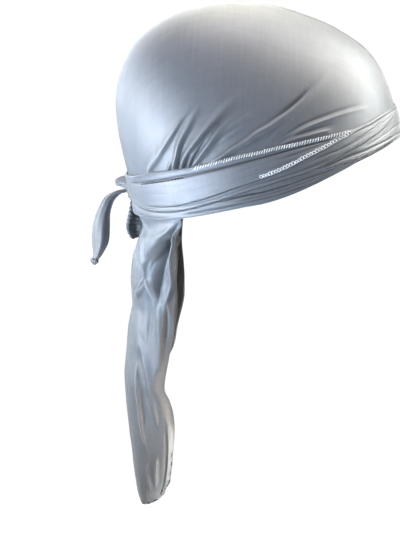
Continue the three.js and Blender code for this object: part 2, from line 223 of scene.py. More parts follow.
def hollows(lift, reach, depth):
    # 1 at the bottom of a crease, 0 on flat cloth and on ridges
    smooth = lift.copy()
    for _ in range(reach):
        for axis in (0, 1):
            wide = np.concatenate([smooth.take([0], axis), smooth, smooth.take([-1], axis)], axis)
            count = smooth.shape[axis]
            smooth = (wide.take(range(count), axis) + wide.take(range(1, count + 1), axis)
                      + wide.take(range(2, count + 2), axis)) / 3
    return np.clip((smooth - lift) / depth, 0, 1)


def creaseShade(lift, scales):
    # painted shade in creases. scales: how dark, the grid steps that a crease is compared over, and the
    # millimetres that are darkest
    return np.max([dark * hollows(lift, reach, depth) for dark, reach, depth in scales], axis=0)


def makeMesh(name, points, faces, material):
    # points in millimetres
    mesh = bpy.data.meshes.new(name)
    mesh.from_pydata((points * mm).tolist(), [], [f.tolist() for f in faces])
    mesh.shade_smooth()
    mesh.materials.append(material)
    return linkObject(name, mesh)


def makePiece(name, points, faces, uvs, material, creases=None):
    # uvs in millimetres of cloth, one pair for each corner of each face
    piece = makeMesh(name, points, faces, material)
    mesh = piece.data
    layer = mesh.uv_layers.new(name="cloth")
    layer.data.foreach_set("uv", (np.asarray(uvs, float).reshape(-1, 2) / clothUnit).ravel())
    # creases hold painted shade, 1 where darkest, stored on the points for the material
    if creases is not None:
        depth = mesh.attributes.new("crease", "FLOAT", "POINT")
        values = np.zeros(len(points))
        values[:creases.size] = creases.ravel()
        depth.data.foreach_set("value", values)
    a, b, c = (points[np.array([f[k] for f in faces])] for k in range(3))
    if np.einsum("ij,ij->i", a, np.cross(b, c)).sum() < 0:
        mesh.flip_normals()
    return piece


def finishPiece(piece, node=None):
    # the whole durag is one body; a node is the plain solid that the piece stands for
    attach(piece, "root")
    if node:
        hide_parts(node)
    return piece


def hoopPiece(name, sections, uv, material, creases=None):
    # sections: one closed loop of points for each step round the hoop
    rows, columns, _ = sections.shape
    faces, corners = gridFaces(rows, columns, closeRows=True, closeColumns=True)
    uvs = np.stack([uv[a, b] for a, b in corners], 1)
    return makePiece(name, sections.reshape(-1, 3), faces, uvs, material, creases)


def sheetPiece(name, outer, inner, uv, material, closeColumns=False, pole=False, creases=None):
    # a cloth with a wall: the outer and inner faces, and the rims that join them
    rows, columns, _ = outer.shape
    count = rows * columns
    faces, corners = gridFaces(rows, columns, closeColumns=closeColumns)
    uvs = np.stack([uv[a, b] for a, b in corners], 1)
    faceList = [*faces, *(faces[:, ::-1] + count)]
    uvList = [*uvs, *uvs[:, ::-1]]
    points = np.concatenate([outer.reshape(-1, 3), inner.reshape(-1, 3)])
    c = np.arange(columns if closeColumns else columns - 1)
    r = np.arange(rows - 1)
    rims = [((row, c), (row, c + 1), flip) for row, flip in ((0, 1), (rows - 1, -1)) if not (pole and row)]
    if not closeColumns:
        rims += [((r, column), (r + 1, column), flip) for column, flip in ((0, -1), (columns - 1, 1))]
    for start, end, flip in rims:
        here, there = (a * columns + b % columns for a, b in (start, end))
        faceList += [*np.stack([here, here + count, there + count, there], -1)[:, ::flip]]
        uvList += [*np.stack([uv[start], uv[start], uv[end], uv[end]], 1)[:, ::flip]]
    if pole:
        # the last ring closes on one point, outside and inside
        points = np.concatenate([points, outer[-1].mean(0)[None], inner[-1].mean(0)[None]])
        last = (rows - 1) * columns
        for base, top, flip in ((last, 2 * count, 1), (last + count, 2 * count + 1, -1)):
            for k in c:
                faceList.append(np.array([base + k, base + (k + 1) % columns, top][::flip]))
                uvList.append(np.stack([uv[-1, k], uv[-1, k + 1], uv[-1, k]][::flip]))
    return makePiece(name, points, faceList, np.concatenate(uvList), material, creases)


def cappedPiece(name, rings, uv, material):
    # a closed form from rings of points, with a point at each end
    rows, columns, _ = rings.shape
    faces, corners = gridFaces(rows, columns, closeColumns=True)
    faceList = [*faces]
    uvList = [*np.stack([uv[a, b] for a, b in corners], 1)]
    points = np.concatenate([rings.reshape(-1, 3), rings[0].mean(0)[None], rings[-1].mean(0)[None]])
    for row, pole, flip in ((0, rows * columns, -1), (rows - 1, rows * columns + 1, 1)):
        for k in range(columns):
            faceList.append(np.array([row * columns + k, row * columns + (k + 1) % columns, pole][::flip]))
            uvList.append(np.array([[k, 0], [k + 1, 0], [k, 1]], float)[::flip])
    return makePiece(name, points, faceList, np.concatenate(uvList), material)


def linearColour(hexValue):
    # sRGB hex to the linear values that shaders take
    parts = [int(hexValue[k:k + 2], 16) / 255 for k in (1, 3, 5)]
    return tuple(p / 12.92 if p <= 0.04045 else ((p + 0.055) / 1.055) ** 2.4 for p in parts) + (1.0,)


def addNode(owner, kind, inputs=None, **settings):
    # adds a node, sets its values, and links the inputs that are given as sockets
    tree = owner.node_tree
    node = tree.nodes.new(kind)
    for name, value in settings.items():
        setattr(node, name, value)
    for name, value in (inputs or {}).items():
        if isinstance(value, bpy.types.NodeSocket):
            tree.links.new(value, node.inputs[name])
        else:
            node.inputs[name].default_value = value
    return node


clothUnit = 100                 # millimetres of cloth to one unit of the patterns' coordinates
satinCloth = {
    "threadPitch": 0.75,        # millimetres; real satin has about 0.12, drawn coarser so that it shows
    "slub": (14, 2.2),          # millimetres: length and width of the thicker stretches of thread
    "handling": 38,             # millimetres between places that hands have dulled
    # the cloth's own two tones, then the painted shade at the bottom of a crease
    "dark": "#4F535A", "light": "#5A5E65", "creaseShadeColour": "#14161B",
    "roughness": (0.48, 0.57),
    "toneRange": (1.1, 1.9),    # lowest and highest sum of the slubs and the handling that show
    "weaveRelief": 0.05,        # millimetres
    "slubRelief": 0.05,
    "reliefStrength": 0.5,
    "ior": 1.64,                # polyester
    "specular": 1.0, "sheen": 1.0, "sheenRoughness": 0.32,
}


def wovenSatin(name, settings):
    # Polyester satin, woven: long floats lie side by side, so it has a broad soft shine that runs into
    # dull grey, a fine square grain from the crossing threads, and faint slubs along them.
    material = bpy.data.materials.new(name)
    material.use_nodes = True
    tree = material.node_tree
    shader = tree.nodes["Principled BSDF"]
    place = addNode(material, "ShaderNodeUVMap", uv_map="cloth")
    length, width = settings["slub"]
    repeats = {"thread": (settings["threadPitch"],) * 2, "weftSlub": (length, width),
               "warpSlub": (width, length), "handling": (settings["handling"],) * 2}
    at = {}
    for pattern, (across, along) in repeats.items():
        mapping = addNode(material, "ShaderNodeMapping", {
            "Vector": place.outputs["UV"], "Scale": (clothUnit / across, clothUnit / along, 1)})
        at[pattern] = mapping.outputs["Vector"]
    threads = []
    for direction in ("X", "Y"):
        # at a scale of 1 / pi the wave has one band to a repeat
        threads.append(addNode(material, "ShaderNodeTexWave", {
            "Vector": at["thread"], "Scale": 1 / math.pi, "Distortion": 1.4, "Detail": 1.0},
            bands_direction=direction))
    weave = addNode(material, "ShaderNodeMath", {0: threads[0].outputs["Fac"], 1: threads[1].outputs["Fac"]},
                    operation="ADD")
    noises = {}
    for pattern, detail in (("weftSlub", 2.0), ("warpSlub", 2.0), ("handling", 4.0)):
        noises[pattern] = addNode(material, "ShaderNodeTexNoise", {
            "Vector": at[pattern], "Scale": 1.0, "Detail": detail}).outputs["Fac"]
    slubs = addNode(material, "ShaderNodeMath", {0: noises["weftSlub"], 1: noises["warpSlub"]},
                    operation="ADD")
    tone = addNode(material, "ShaderNodeMath", {0: slubs.outputs[0], 1: noises["handling"]}, operation="ADD")
    low, high = settings["toneRange"]
    share = addNode(material, "ShaderNodeMapRange", {
        "Value": tone.outputs[0], "From Min": low, "From Max": high})
    colour = addNode(material, "ShaderNodeMix", {"Factor": share.outputs["Result"]}, data_type="RGBA")
    colour.inputs[6].default_value = linearColour(settings["dark"])
    colour.inputs[7].default_value = linearColour(settings["light"])
    # painted shade: the base colour is darkened by the crease attribute, for the little light that comes back
    # out of a crease
    crease = addNode(material, "ShaderNodeAttribute", attribute_name="crease")
    shaded = addNode(material, "ShaderNodeMix", {"Factor": crease.outputs["Fac"]}, data_type="RGBA")
    tree.links.new(colour.outputs[2], shaded.inputs[6])
    shaded.inputs[7].default_value = linearColour(settings["creaseShadeColour"])
    tree.links.new(shaded.outputs[2], shader.inputs["Base Color"])
    smooth, rough = settings["roughness"]
    gloss = addNode(material, "ShaderNodeMapRange", {
        "Value": tone.outputs[0], "From Min": low, "From Max": high, "To Min": rough, "To Max": smooth})
    tree.links.new(gloss.outputs["Result"], shader.inputs["Roughness"])
    fine = addNode(material, "ShaderNodeBump", {
        "Height": weave.outputs[0], "Strength": settings["reliefStrength"],
        "Distance": settings["weaveRelief"] * mm})
    coarse = addNode(material, "ShaderNodeBump", {
        "Height": slubs.outputs[0], "Strength": settings["reliefStrength"],
        "Distance": settings["slubRelief"] * mm, "Normal": fine.outputs["Normal"]})
    tree.links.new(coarse.outputs["Normal"], shader.inputs["Normal"])
    shader.inputs["IOR"].default_value = settings["ior"]
    shader.inputs["Specular IOR Level"].default_value = settings["specular"]
    shader.inputs["Sheen Weight"].default_value = settings["sheen"]
    shader.inputs["Sheen Roughness"].default_value = settings["sheenRoughness"]
    return material


threadFinish = {"fibreScale": 900.0, "fibreRelief": 0.05, "ior": 1.5}      # fibres a metre, millimetres


def spunThread(name, hexValue, roughness):
    # Spun polyester sewing thread: matt and slightly hairy, with the twist of its plies too fine to show.
    material = bpy.data.materials.new(name)
    material.use_nodes = True
    shader = material.node_tree.nodes["Principled BSDF"]
    fibres = addNode(material, "ShaderNodeTexNoise", {"Scale": threadFinish["fibreScale"], "Detail": 2.0})
    bump = addNode(material, "ShaderNodeBump", {
        "Height": fibres.outputs["Fac"], "Strength": 0.4, "Distance": threadFinish["fibreRelief"] * mm})
    material.node_tree.links.new(bump.outputs["Normal"], shader.inputs["Normal"])
    shader.inputs["Base Color"].default_value = linearColour(hexValue)
    shader.inputs["Roughness"].default_value = roughness
    shader.inputs["IOR"].default_value = threadFinish["ior"]
    return material


greySatin = wovenSatin("greyPolyesterSatin", satinCloth)
paleThread = spunThread("paleSewingThread", "#EEF0F4", 0.7)
greyThread = spunThread("greySewingThread", "#8C9098", 0.7)
darkThread = spunThread("darkSewingThread", "#1B1D22", 0.75)


# Edges of the wraps round one half of the opening: degrees, then millimetres above its plane.
bandLines = {
    "top": [(0, 15.6), (15, 15.9), (23, 15.4), (31, 14.0), (36, 13.4), (41, 13.3), (47, 13.9), (55, 14.7),
            (63, 15.5), (71, 16.2), (79, 17.0), (87, 17.2), (96, 18.0), (112, 17.9), (122, 18.0), (134, 18.8),
            (144, 18.7), (158, 17.2), (180, 17.0)],
    "upperSeam": [(0, 14.0), (15, 14.2), (23, 13.6), (31, 12.1), (36, 11.4), (42, 10.2), (48, 8.9), (56, 6.5),
                  (65, 4.3), (73, 1.8), (82, 0.0), (91, -0.9), (103, -2.3), (112, -3.9), (120, -5.0),
                  (130, -5.7), (139, -4.9), (150, -3.0), (161, 0.2), (180, 0.6)],
    "lowerSeam": [(0, 11.2), (14, 10.4), (26, 6.0), (34, 3.2), (42, 1.0), (49, -0.9), (57, -3.2), (65, -4.6),
                  (77, -4.9), (88, -5.9), (98, -6.4), (113, -8.2), (130, -9.4), (145, -7.6), (161, -3.6),
                  (180, -3.2)],
    "bottom": [(0, -5.8), (14, -6.0), (22, -6.4), (33, -7.8), (43, -9.3), (46, -10.2), (55, -12.5),
               (64, -14.6), (77, -16.8), (90, -17.5), (102, -16.4), (122, -15.4), (136, -14.6), (145, -13.4),
               (159, -11.5), (180, -11.0)],
}


def bandLine(name, angle):
    return curveThrough(bandLines[name], mirrored(angle))


# Pull folds on the crown's right half. In millimetres: the height, then the half widths where the fold starts
# and ends, gentle on the side towards the back and steep on the other. Then the share of the route over which
# it comes, and the route from the wraps upwards in (degrees round, degrees up).
foldColumns = ("height", "rear", "front", "come", "route")
crownFolds = [dict(zip(foldColumns, row)) for row in (
    (2.7, (1.7, 5.5), (1.0, 2.6), 0,
     [(143, 11), (140.8, 13.7), (133.8, 18.9), (125.9, 26), (119.4, 32.2), (112, 38.5), (106, 43)]),
    (1.5, (0.8, 1.2), (0.7, 1.1), 0, [(133, 11), (131, 12.9), (128.7, 15.8), (126.2, 18.7)]),
    (3.3, (1.0, 3.6), (0.8, 3.0), 0,
     [(129, 11), (128.1, 12.6), (125.2, 17.8), (121.9, 23.5), (116.3, 29.9), (110.9, 35.7), (104, 41)]),
    (3.2, (1.0, 4.2), (0.8, 2.3), 0,
     [(125.3, 10.8), (124.4, 12.1), (121.2, 16.8), (117.1, 20.6), (111.2, 25.3), (105.3, 29.4), (97.5, 34.4),
      (90.6, 37.6), (83, 40.5)]),
    (1.5, (0.7, 1.0), (0.6, 1.0), 0, [(122, 11), (121, 12.3), (118.7, 15.8), (116.3, 18.3)]),
    (2.5, (0.8, 1.6), (1.1, 4.5), 0,
     [(119.8, 11), (118.8, 12.4), (114.8, 15.9), (110.4, 19.6), (106, 23.4), (101.8, 26.5), (96, 29.6),
      (89, 33)]),
    (0.8, (0.9, 1.6), (1.0, 2.4), 0.4, [(106.3, 19.4), (100.8, 21.9), (92.9, 24.5), (86, 27)]),
    (0.6, (1.0, 2.0), (1.0, 2.2), 0.4, [(102, 24.4), (96, 26.9), (88, 29), (80, 31.5)]),
    (2.6, (0.8, 1.5), (1.2, 4.8), 0.2,
     [(117, 9.6), (115, 10.6), (108.7, 12.8), (99.4, 16.4), (91.6, 18.8), (84.8, 21.2), (77.4, 22.6),
      (74.4, 23.5), (65.7, 25.5), (57.6, 27.9), (50, 30.4), (42, 33), (33, 36)]),
    (-1.3, (1.4, 3.2), (0.8, 1.0), 0.4,
     [(82, 23.6), (72, 25.6), (65.1, 27.2), (59, 28.9), (54.4, 30.5), (48, 32.8)]),
    (0.8, (2.0, 3.2), (1.6, 2.8), 0.35, [(82, 14.6), (74, 19), (66, 22.4), (58, 25)]),
    (1.1, (0.6, 0.8), (0.8, 1.6), 0.5,
     [(92, 9.0), (84, 10.2), (75.5, 12.2), (67.8, 15.2), (60.5, 16.5), (50.6, 16.4), (40.8, 15.6),
      (25.7, 13.1), (14, 11.4)]),
    (-0.8, (1.0, 1.4), (0.6, 0.7), 0.35,
     [(80, 13.4), (70, 16.6), (60.5, 18.2), (50, 18.0), (38, 16.8), (25, 14.6)]),
    (1.3, (0.7, 1.0), (0.7, 1.0), 0.45,
     [(84, 9.6), (77, 11.4), (69.8, 13.2), (60.1, 12.7), (53, 11.9), (49.2, 11.1), (44, 10.2)]),
    (-1.0, (0.7, 0.9), (0.7, 0.9), 0.35, [(78, 13.0), (68, 15.0), (60, 14.7), (52, 13.9), (45, 12.7)]),
    # dark gaps between the folds, where the cloth is pinched
    (-1.0, (0.7, 0.7), (0.7, 0.7), 0, [(131, 10.4), (129.7, 12.6), (127.4, 16)]),
    (-1.6, (0.8, 1.0), (0.8, 1.0), 0, [(126.8, 10.4), (125.9, 12.6), (123.5, 17), (121.1, 20.6)]),
    (-1.3, (0.7, 0.8), (0.7, 0.8), 0, [(123.3, 10.4), (122.8, 12.4), (119.5, 17), (117, 19.6)]),
    (-1.8, (0.8, 1.1), (0.7, 0.9), 0,
     [(120.6, 10.4), (119.9, 12.6), (116.2, 16.8), (112, 20.6), (107.9, 24.6)]),
)]
crownCloth = {
    "wall": 1.2,                 # hem and turned edge taken together, thicker than the single cloth
    "rimTuck": 5.0,              # how far the rim lies inside the lower edge of the wraps
    "flatCut": (0.30, 0.36),     # metres: side to side, and front to back, before it is stretched
    "flatArea": 0.070,           # square metres, as its corners are cut round
    "farSideFolds": 0.85,        # share of the fold height on the other side
    "farSideShift": 2.5,         # degrees that the folds there are turned by
    "routeSamples": 70, "foldReach": 14,      # millimetres round a route that are looked at
    "foldFade": 0.55,            # share of the route over which a fold dies out
    "foldSharpness": 1.75, "foldPoint": 0.3,
    "slack": 0.18,               # millimetres that the smooth cloth wanders
    "innerFolds": 0.8,           # share of the folds on the inner face
    # stretches of (degrees round, to, apart), closest where the folds are
    "columns": [(0, 20, 2), (20, 60, 1), (60, 96, 0.45), (96, 133.1, 0.35), (133.6, 145, 0.6),
                (145.4, 180, 1.6), (180.5, 215, 1.8), (216, 300, 1.8), (301, 359, 2.4)],
    # stretches of (share of the way from the rim to the top, to, count)
    "rows": [(0, 0.17, 8), (0.17, 0.36, 62), (0.36, 0.5, 28), (0.5, 0.985, 30)],
    # painted shade in creases: how dark, grid steps compared over, millimetres that are darkest
    "creases": [(1.0, 20, 0.9)],
}


def foldLift(points, normals, fold):
    samples = crownPoints(*alongRoute(fold["route"], crownCloth["routeSamples"]).T)
    tangents = unit(np.gradient(samples, axis=0))
    middle = samples.mean(0)
    reach = np.linalg.norm(samples - middle, axis=1).max() + crownCloth["foldReach"]
    flat = points.reshape(-1, 3)
    near = np.nonzero(np.linalg.norm(flat - middle, axis=1) < reach)[0]
    gap = flat[near, None, :] - samples[None]
    best = (gap ** 2).sum(-1).argmin(1)
    apart = gap[np.arange(len(near)), best]
    along = tangents[best]
    side = (apart * np.cross(along, normals.reshape(-1, 3)[near])).sum(-1)
    # measured square to the route, so that a sharp ridge stays even between the samples
    inside = (best > 0) & (best < len(samples) - 1)
    slip = np.where(inside, (apart * along).sum(-1), 0)
    distance = np.linalg.norm(apart - along * slip[:, None], axis=1)
    t = best / (len(samples) - 1)
    come = smoothStep(t, 0, max(fold["come"], 1e-6))
    width = np.where(side < 0, lerp(*fold["rear"], t), lerp(*fold["front"], t))
    width = width * lerp(crownCloth["foldPoint"], 1, come)
    fade = smoothStep(1 - t, 0, crownCloth["foldFade"]) * come
    lift = np.zeros(len(flat))
    lift[near] = fold["height"] * fade * np.exp(-(distance / width) ** crownCloth["foldSharpness"])
    return lift.reshape(points.shape[:-1])


def allFolds(angle, rise):
    side = mirrored(angle) + np.where(onFarSide(angle), crownCloth["farSideShift"], 0)
    points = crownPoints(side, rise)
    normals = outwardNormals(points)
    lifts = [foldLift(points, normals, fold) for fold in crownFolds]
    ridges = np.sqrt(sum(np.maximum(lift, 0) ** 2 for lift in lifts))
    total = ridges + sum(np.minimum(lift, 0) for lift in lifts)
    # the folds go down to nothing under the wraps
    height = np.radians(rise) * np.linalg.norm(crownPoints(angle, 0.0), axis=-1)
    edge = bandLine("top", angle)
    share = np.where(onFarSide(angle), crownCloth["farSideFolds"], 1.0)
    return share * total * smoothStep(height, edge - 2.0, edge + 2.2)


def makeCrown():
    columns = np.concatenate([np.arange(*stretch) for stretch in crownCloth["columns"]])
    share = np.concatenate([[0.0]] + [np.linspace(*stretch)[1:] for stretch in crownCloth["rows"]])
    edge = riseOf(columns, bandLine("bottom", columns) + crownCloth["rimTuck"])
    rise = lerp(edge[None, :], 90.0, share[:, None])
    angle = np.broadcast_to(columns, rise.shape)
    slack = gentleWaves(rise / 7, angle / 11, 3) * crownCloth["slack"]
    folds = allFolds(angle, rise)
    outer = crownPoints(angle, rise, folds + slack)
    inner = crownPoints(angle, rise, folds * crownCloth["innerFolds"] + slack - crownCloth["wall"])
    # cloth directions: front to back, and over the crown from side to side
    wide = np.concatenate([outer, outer[:, :1]], 1)
    uv = np.stack([wide[..., 1], 95 * np.arctan2(wide[..., 0], wide[..., 2] + 60)], -1)
    # painted shade in the hollows between the folds
    crown = finishPiece(sheetPiece("crown_cloth", outer, inner, uv, greySatin, closeColumns=True, pole=True,
                                   creases=creaseShade(folds, crownCloth["creases"])), "crown")


# The straps, wound round the opening in three wraps. Each lies between two of the edges above. Thickness is
# in millimetres against the share of the way up. The lines are creases along the wrap: depth and how fast it
# dies out below and above, in millimetres, and the route in (degrees round, millimetres up).
lineColumns = ("depth", "below", "above", "route")
wrapLayers = {
    "upper_wrap": {
        "low": "upperSeam", "high": "top", "slot": "pale_satin", "waveSeed": 7,
        "thickness": [(0.0, 2.9), (0.25, 2.75), (0.6, 2.3), (1.0, 1.8)],
        "lines": [
            (1.9, 0.5, 0.8,
             [(41, 11.4), (51, 11.1), (60, 11.7), (68, 12.1), (80, 12.2), (96, 12.4), (116, 12.6),
              (136, 12.7), (147, 12.4), (160, 12.4)]),
            (1.2, 1.2, 1.0, [(44, 10.9), (52, 10.2), (60, 9.6), (70, 8.8), (80, 8.4)]),
            (0.2, 0.5, 0.8, [(74, 8.6), (88, 8.4), (104, 8.0)]),
            (0.3, 0.5, 0.9, [(66, 6.6), (78, 4.6), (90, 3.6), (104, 2.6)]),
            (0.12, 0.5, 0.9, [(114, 8.8), (130, 8.2), (146, 8.9), (158, 9.6)]),
            (0.15, 0.6, 1.0, [(100, 4.8), (118, 3.4), (136, 3.6), (152, 5.6)]),
            (0.12, 0.6, 0.8, [(108, -0.4), (124, -1.8), (140, -1.2), (156, 2.2)]),
        ],
    },
    "middle_wrap": {
        "low": "lowerSeam", "high": "upperSeam", "slot": "satin", "waveSeed": 5,
        "thickness": [(0.0, 2.6), (0.5, 2.5), (1.0, 1.6)],
        "lines": [
            (1.6, 0.8, 0.7, [(22, 12.2), (33, 8.6), (41, 5.4), (48, 3.6), (56, 2.8), (66, 0.8)]),
            (1.1, 0.5, 0.6, [(12, 13.2), (24, 10.4), (34, 6.8), (44, 4.6)]),
            (1.2, 0.6, 0.6, [(52, -0.6), (64, -2.0), (78, -2.8), (92, -3.2)]),
            (0.35, 0.4, 0.5, [(84, -1.8), (100, -4.0), (116, -6.1), (132, -7.0)]),
            (0.7, 0.4, 0.4, [(140, -6.6), (147, -5.6), (155, -3.4), (162, -1.0)]),
        ],
    },
    "lower_wrap": {
        "low": "bottom", "high": "lowerSeam", "slot": "satin", "waveSeed": 6,
        "thickness": [(0.0, 1.9), (0.2, 2.5), (0.6, 2.4), (1.0, 1.8)],
        "lines": [
            (2.1, 0.6, 0.8, [(6, -1.5), (24, -2.1), (37, -2.9), (47, -3.1), (56, -4.4), (64, -5.6)]),
            (1.2, 0.6, 0.7, [(4, 4.6), (16, 4.0), (28, 1.6), (40, -1.0)]),
            (1.8, 0.6, 0.6, [(52, -8.0), (62, -8.3), (73, -9.0), (88, -9.5), (100, -8.4), (112, -8.6)]),
            (1.0, 0.5, 0.7, [(54, -9.6), (66, -10.8), (78, -11.6), (92, -11.6), (104, -11.0)]),
            (0.9, 0.6, 0.5,
             [(56, -11.3), (68, -13.2), (81, -13.8), (97, -13.2), (110, -12.6), (122, -12.0), (132, -11.8)]),
            (0.7, 0.5, 0.5, [(134, -12.6), (145, -12.0), (158, -9.8), (170, -8.4)]),
        ],
    },
}
# Sewing: each run follows a line round the opening, in (degrees, millimetres up), on one wrap's face.
# Overlock runs are chains of loops, slanting ones are that seam from its needle side, plain ones are dashes.
stitchRuns = {
    "crown_hem_overlock": {
        "wrap": "upper_wrap", "kind": "slanting", "pitch": 1.9, "width": 2.0, "thread": 0.28,
        "material": paleThread,
        "line": [(43, 12.0), (47, 12.6), (55, 13.4), (63, 14.2), (71, 14.9), (79, 15.7), (87, 15.9),
                 (96, 16.7), (112, 16.6), (118, 16.6)],
    },
    "crown_hem_back_overlock": {
        "wrap": "upper_wrap", "kind": "slanting", "pitch": 1.9, "width": 1.6, "thread": 0.17,
        "material": greyThread,
        "line": [(118, 16.6), (122, 16.6), (134, 17.3), (144, 17.2), (156, 15.9)],
    },
    "strap_edge_overlock": {
        "wrap": "upper_wrap", "kind": "overlock", "pitch": 2.3, "width": 2.3, "thread": 0.26,
        "material": paleThread,
        "line": [(42, 11.6), (48, 10.3), (56, 7.9), (65, 5.7), (73, 3.3), (82, 1.4), (89, 0.6)],
    },
    "front_overlock": {
        "wrap": "lower_wrap", "kind": "overlock", "pitch": 2.5, "width": 1.9, "thread": 0.22,
        "material": greyThread,
        "line": [(20, -4.0), (33, -5.3), (40, -6.4), (47, -6.6), (54, -6.2), (59, -5.9)],
    },
    "hem_crease_stitches": {
        "wrap": "upper_wrap", "kind": "plain", "pitch": 2.6, "width": 0.0, "thread": 0.36,
        "material": darkThread,
        "line": [(124, 11.9), (132, 12.0), (140, 12.0), (149, 11.7)],
    },
}
wrapCloth = {
    "radius": 88,                # of the opening, on the average
    "gap": 0.3, "hiddenWall": 0.25,
    "edgeRound": 0.9, "sectionSteps": 64, "innerSteps": 6,
    "degreesApart": (0.5, 1.0),  # between sections, on the right and on the left
    "farSideCreases": 0.7,
    "bunch": (0.20, 1.5),        # millimetres: height of the bunched waves, and how finely they lie upwards
    "slack": (0.12, 4.0),        # the same for the broad waves
    "lineEnds": 9,               # degrees over which a crease comes and goes
    # painted shade: in the creases, as for creaseShade, and on both edges of each wrap
    "creases": [(1.0, 9, 0.4), (0.75, 40, 0.9)],
    "edgeShade": 0.6,
    "stitchShadeReach": 0.55,          # how far from its line the painted shade along a seam reaches, as a share of its width
}


def lineLift(line, angle, height):
    side = mirrored(angle)
    route = line["route"]
    # the wraps are pulled smooth at the front
    share = within(side, route[0][0], route[-1][0], wrapCloth["lineEnds"])
    share = share * lerp(0.4, 1, smoothStep(side, 26, 50))
    apart = height - curveThrough(route, side)
    width = np.where(apart < 0, line["below"], line["above"])
    return -line["depth"] * share * np.exp(-np.abs(apart) / width)


def wrapLift(layer, angle, height):
    side = mirrored(angle)
    low, high = bandLine(layer["low"], angle), bandLine(layer["high"], angle)
    # where a wrap narrows, it is also thinner
    body = curveThrough(layer["thickness"], (height - low) / (high - low))
    body = body * lerp(0.4, 1, smoothStep(high - low, 1.5, 6.0))
    edge = np.clip(np.minimum(height - low, high - height) / wrapCloth["edgeRound"], 0, 1)
    lines = [lineLift(dict(zip(lineColumns, row)), angle, height) for row in layer["lines"]]
    creases = sum(lines) * np.where(onFarSide(angle), wrapCloth["farSideCreases"], 1.0)
    # the straps are bunched at the sides and lie flatter at the front and the back
    bunched = lerp(0.35, 1, smoothStep(-side, -120, -88) * smoothStep(side, 24, 52))
    turn = np.radians(angle)
    waves = 0.0
    for (size, fineness), around, seed, share in ((wrapCloth["bunch"], 5.3125, layer["waveSeed"], bunched),
                                                  (wrapCloth["slack"], 2.125, 7, 1.0)):
        waves = waves + gentleWaves(turn * around, height / fineness, seed) * size * share
    hidden = wrapCloth["hiddenWall"]
    lift = (body + waves + creases - hidden) * np.sqrt(1 - (1 - edge) ** 2)
    return wrapCloth["gap"] + hidden + np.maximum(lift, 0)


def makeWrap(node, layer):
    nearStep, farStep = wrapCloth["degreesApart"]
    angle = np.concatenate([np.arange(0, 180, nearStep), np.arange(180, 360, farStep)])
    low, high = bandLine(layer["low"], angle) + 0.06, bandLine(layer["high"], angle) - 0.06
    # the section's points crowd together towards both edges
    wave = np.cos(np.linspace(0, np.pi, wrapCloth["sectionSteps"]))
    share = 0.5 - 0.5 * wave * lerp(0.35, 1, np.abs(wave) ** 0.5)
    back = np.linspace(1, 0, wrapCloth["innerSteps"] + 2)[1:-1]
    height, backHeight = (lerp(low[:, None], high[:, None], s[None, :]) for s in (share, back))
    wide = np.broadcast_to(angle[:, None], height.shape)
    lift = wrapLift(layer, wide, height)
    sections = np.concatenate([bandPoints(wide, height, lift),
                               bandPoints(angle[:, None], backHeight, wrapCloth["gap"])], 1)
    # painted shade in the creases along the wrap, and along both its edges
    shade = creaseShade(lift, wrapCloth["creases"])
    shade[:, [0, 1, -2, -1]] = wrapCloth["edgeShade"]
    # painted shade along each sewn run, for the shadow where the thread draws the cloth in; the cloth itself
    # is not moved
    for run in stitchRuns.values():
        if run["wrap"] == node and run["kind"] != "plain":
            line, side = run["line"], mirrored(wide)
            apart = (height - curveThrough(line, side)) / (wrapCloth["stitchShadeReach"] * run["width"])
            shade = np.maximum(shade, within(side, line[0][0], line[-1][0], 3) * np.exp(-apart ** 2))
    creases = np.concatenate([shade, np.zeros_like(backHeight)], 1)
    around = np.radians(np.append(angle, 360)) * wrapCloth["radius"]
    across = np.concatenate([height, backHeight, height[:, :1]], 1)
    uv = np.stack(np.broadcast_arrays(around[:, None], np.concatenate([across, across[:1]])), -1)
    finishPiece(hoopPiece(node + "_cloth", sections, uv, greySatin, creases), node)


for wrapNode, wrapLayer in wrapLayers.items():
    makeWrap(wrapNode, wrapLayer)
print("wraps made")
makeCrown()
print("crown made")

# The cape hangs as a bent sheet. Each table gives millimetres against the drop below the wraps: half its
# width, its rear face, and how far its side edges come forward from that.
capeShape = {
    "halfWidth": [(0, 60), (22, 55), (44, 50), (67, 45), (84, 41), (100, 38), (122, 35), (142, 33), (162, 31),
                  (182, 28), (198, 24), (211, 19), (218, 16), (223, 14)],
    "rear": [(0, 80.5), (10, 83), (24, 86.4), (36, 88.6), (52, 90.2), (64, 89.7), (74, 89.4), (90, 92.4),
             (108, 94.0), (123, 95.4), (138, 94.8), (153, 93.6), (168, 92.3), (183, 90.3), (199, 88.8),
             (214, 86.6), (223, 84)],
    "nearDepth": [(0, 26), (17, 29.8), (31, 33), (53, 34.6), (76, 33), (91, 34), (98, 33), (109, 32),
                  (121, 31), (130, 30.6), (136, 33), (144, 35), (155, 35.4), (167, 34.2), (179, 31.7),
                  (192, 29.2), (205, 26), (216, 21.5), (223, 18)],
    "farDepth": [(0, 27), (17, 30), (37, 33), (52, 35.6), (69, 35.6), (84, 36), (98, 34.6), (113, 33),
                 (121, 30), (139, 25.6), (154, 24.4), (180, 23), (205, 20), (216, 17), (223, 14)],
    "bend": 80,             # degrees that the sheet turns between its middle and a side edge
    "span": 48,             # degrees round the opening that each side is tucked in over
    "topLevel": -29, "length": 222,
    "wall": 1.0,
    "corner": 11,           # millimetres that the rounded corners at the bottom rise
    "sideCurl": 0.10,       # how much the side edges turn in, as a share of the half width
    "flatCut": (0.15, 0.24), "flatArea": 0.029,      # metres and square metres
    "farSideFolds": 0.6,    # share of the fold height on the other side
    "farSideDrop": 5.0,     # millimetres that the folds there sit lower
    "routeSamples": 90, "foldSharpness": 1.8, "foldPoint": 0.25,
    "columns": (60, 171),   # on the left and on the right
    "rows": [(-3.5, 12, 14), (13, 223, 176)],        # (drop, to, count); it starts under the wraps
    # painted shade in creases, as for creaseShade
    "creases": [(1.0, 14, 1.4), (0.5, 60, 5.0)],
    "deepFold": 4.5,        # millimetres below the sheet where the painted shade of a hollow starts
}
